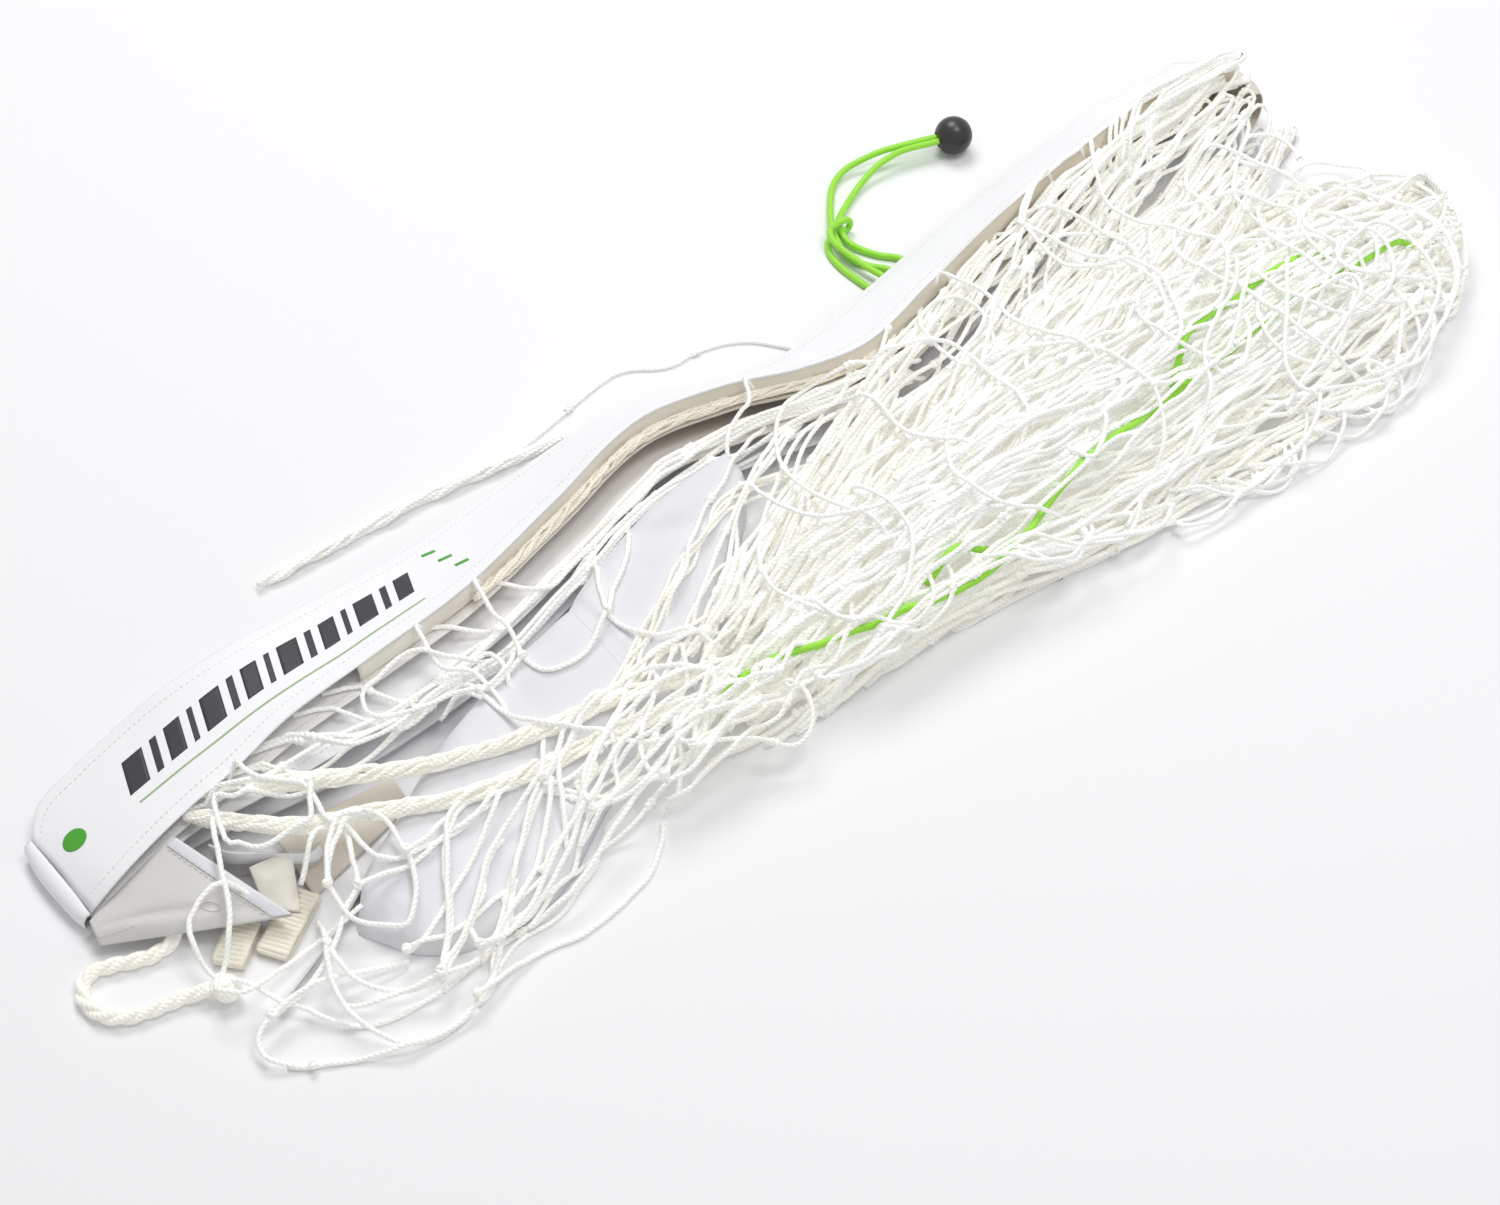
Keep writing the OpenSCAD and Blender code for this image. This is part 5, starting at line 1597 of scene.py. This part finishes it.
back_lengths, core = gathered(BACK_ROPE, 7, 9.0, 2 * HEAD_TWINE_R, 41, slack=0.9)
back_rope = net_piece("back_rope_twines", [(points, HEAD_TWINE_R, 0.5 + 0.1 * (k % 4))
                                           for k, points in enumerate(back_lengths)], "back_rope")
declare(core[::-1])
loop_lengths, _ = gathered(BACK_LOOP, 1, 3.6, 3.4, 43, slack=0.2)
loop_points = loop_lengths[0] + [0, 0, 0.2]
back_loop = net_piece("back_loop_twine", [twine(loop_points, NET_R, 0.8, dice, 95)], "back_loop")
declare(loop_points[::-1])
lacing_lengths, _ = gathered(LACING, 10, 8.6, 2.1, 47, slack=1.1, lay_length=110)
lacing = [(points, 1.05, 0.1) for points in lacing_lengths]
net_piece("lacing_twines", lacing, "lacing_cord", finish=LACE_TWINE)

# The fan: twine that comes off the steps of the sleeve and runs down over the heap
fan = strew(step_path, NET_R, 6.0, 11, tint=0.7, seed=19, slope=0.3)
fan += strew(drape_path, NET_R, 6.0, 6, tint=0.6, seed=25, slope=0.3)
fan += strew(cover_path, NET_R, 6.0, 17, tint=0.7, seed=26, slope=0.3)
fan += fill(fan_height, fan_path, radius=NET_R, step=6.0, most=120, tries=6, tint=0.6, seed=13, stop=-1.5,
            slope=0.36)
fan += strew(tip_path, 1.5, 5.0, 6, tint=0.75, seed=27, slope=0.6)
net_piece("net_fan", fan)

# The top of the gather, with the net's elastic in its last layers
top = fill(lambda x, y: heap_height(x, y) + 1, on_heap,
           radius=NET_R, step=6.0, most=16, tries=7, tint=0.8, seed=14)
for name, route, node_names in ELASTIC_ROUTES:
    strand = ends_hidden(lay(evenly(rounded(route, 2), 4), ELASTIC_D / 2, 0.3), ELASTIC_D / 2)
    piece = elastic(name, strand, sides=12)
    dress(piece, "elastic", *node_names)
    declare(strand)
top += fill(lambda x, y: heap_height(x, y) + 2, on_heap,
            radius=NET_R, step=6.0, most=7, tries=7, tint=0.8, seed=20)
top += strew(rim_loop, 1.5, 4.0, 12, tint=0.8, seed=18)
top += curls(13, 15, 1.5, 0.9, ((-100, 555), (-180, 70)), lengths=(110, 260), tights=(24, 70))
top += curls(8, 16, 1.5, 0.95, ((420, 545), (-150, 0)), lengths=(160, 380), tights=(24, 60), share=0.86)
net_piece("net_top_twine", top)

# Loose lengths over the panels and the floor, and loops on the heap
skirt = strew(spray_path, NET_R, 5.0, 20, tint=0.6, seed=17)
skirt += loose(SKIRT_ROUTES, 1.7, 0.8, 22)
net_piece("net_skirt_twine", skirt, "net_skirt")
net_piece("net_loops", loose(LOOP_ROUTES, NET_R, 0.95, 23))
net_piece("net_knots", [mesh_knot(x, y, k * 1.7) for k, (x, y) in enumerate(KNOTS)], sides=7)


# ---- Floor, light and world
def looked_at(tree):
    """1 for rays of the camera, of gloss and of glass, which see the pale backdrop, and 0 for light."""
    path = node(tree, "ShaderNodeLightPath")
    gloss = node(tree, "ShaderNodeMath", {0: path.outputs["Is Camera Ray"], 1: path.outputs["Is Glossy Ray"]},
                 operation="MAXIMUM")
    glass = node(tree, "ShaderNodeMath", {0: gloss.outputs[0], 1: path.outputs["Is Transmission Ray"]},
                 operation="MAXIMUM")
    return glass.outputs[0]


floor_mesh = bpy.data.meshes.new("floor")
bm = bmesh.new()
bmesh.ops.create_grid(bm, x_segments=1, y_segments=1, size=6)
bm.to_mesh(floor_mesh)
bm.free()
floor = bpy.data.objects.new("floor", floor_mesh)
scene.collection.objects.link(floor)
paper, tree, shader = material("matt_paper_sweep", Roughness=0.9, Specular_IOR_Level=0.1)
shader.inputs["Base Color"].default_value = linear("#f6f6f8")
shader.inputs["Emission Color"].default_value = (1, 1, 1, 1)
# Far from the object, where the lamps don't reach, the camera still sees pale paper
spot = node(tree, "ShaderNodeTexCoord").outputs["Object"]
away = node(tree, "ShaderNodeVectorMath", {0: spot}, operation="LENGTH")
far = node(tree, "ShaderNodeMapRange", {"Value": away.outputs["Value"], "From Min": 1.3, "From Max": 3.6,
                                        "To Min": 0.0, "To Max": 0.45})
glow = node(tree, "ShaderNodeMath", {0: far.outputs[0], 1: looked_at(tree)}, operation="MULTIPLY")
tree.links.new(glow.outputs[0], shader.inputs["Emission Strength"])
floor_mesh.materials.append(paper)

world = bpy.data.worlds.new("studio")
scene.world = world
world.use_nodes = True
world.node_tree.nodes["Background"].inputs[0].default_value = (1, 1, 1, 1)
backdrop = node(world.node_tree, "ShaderNodeMapRange", {"Value": looked_at(world.node_tree),
                                                        "To Min": 0.43, "To Max": 0.86})
world.node_tree.links.new(backdrop.outputs[0], world.node_tree.nodes["Background"].inputs[1])


def lamp(name, at, aim, size, power):
    """A round area lamp that faces a point."""
    data = bpy.data.lights.new(name, "AREA")
    data.shape, data.size, data.energy = "DISK", size, power
    made = bpy.data.objects.new(name, data)
    scene.collection.objects.link(made)
    made.location = at
    made.rotation_euler = (Vector(aim) - Vector(at)).to_track_quat("-Z", "Y").to_euler()


lamp("key", (0.6, 1.4, 2.6), (0, 0, 0), 1.6, 38)
lamp("fill", (0.6, -0.8, 3.2), (0, 0, 0), 1.4, 32)
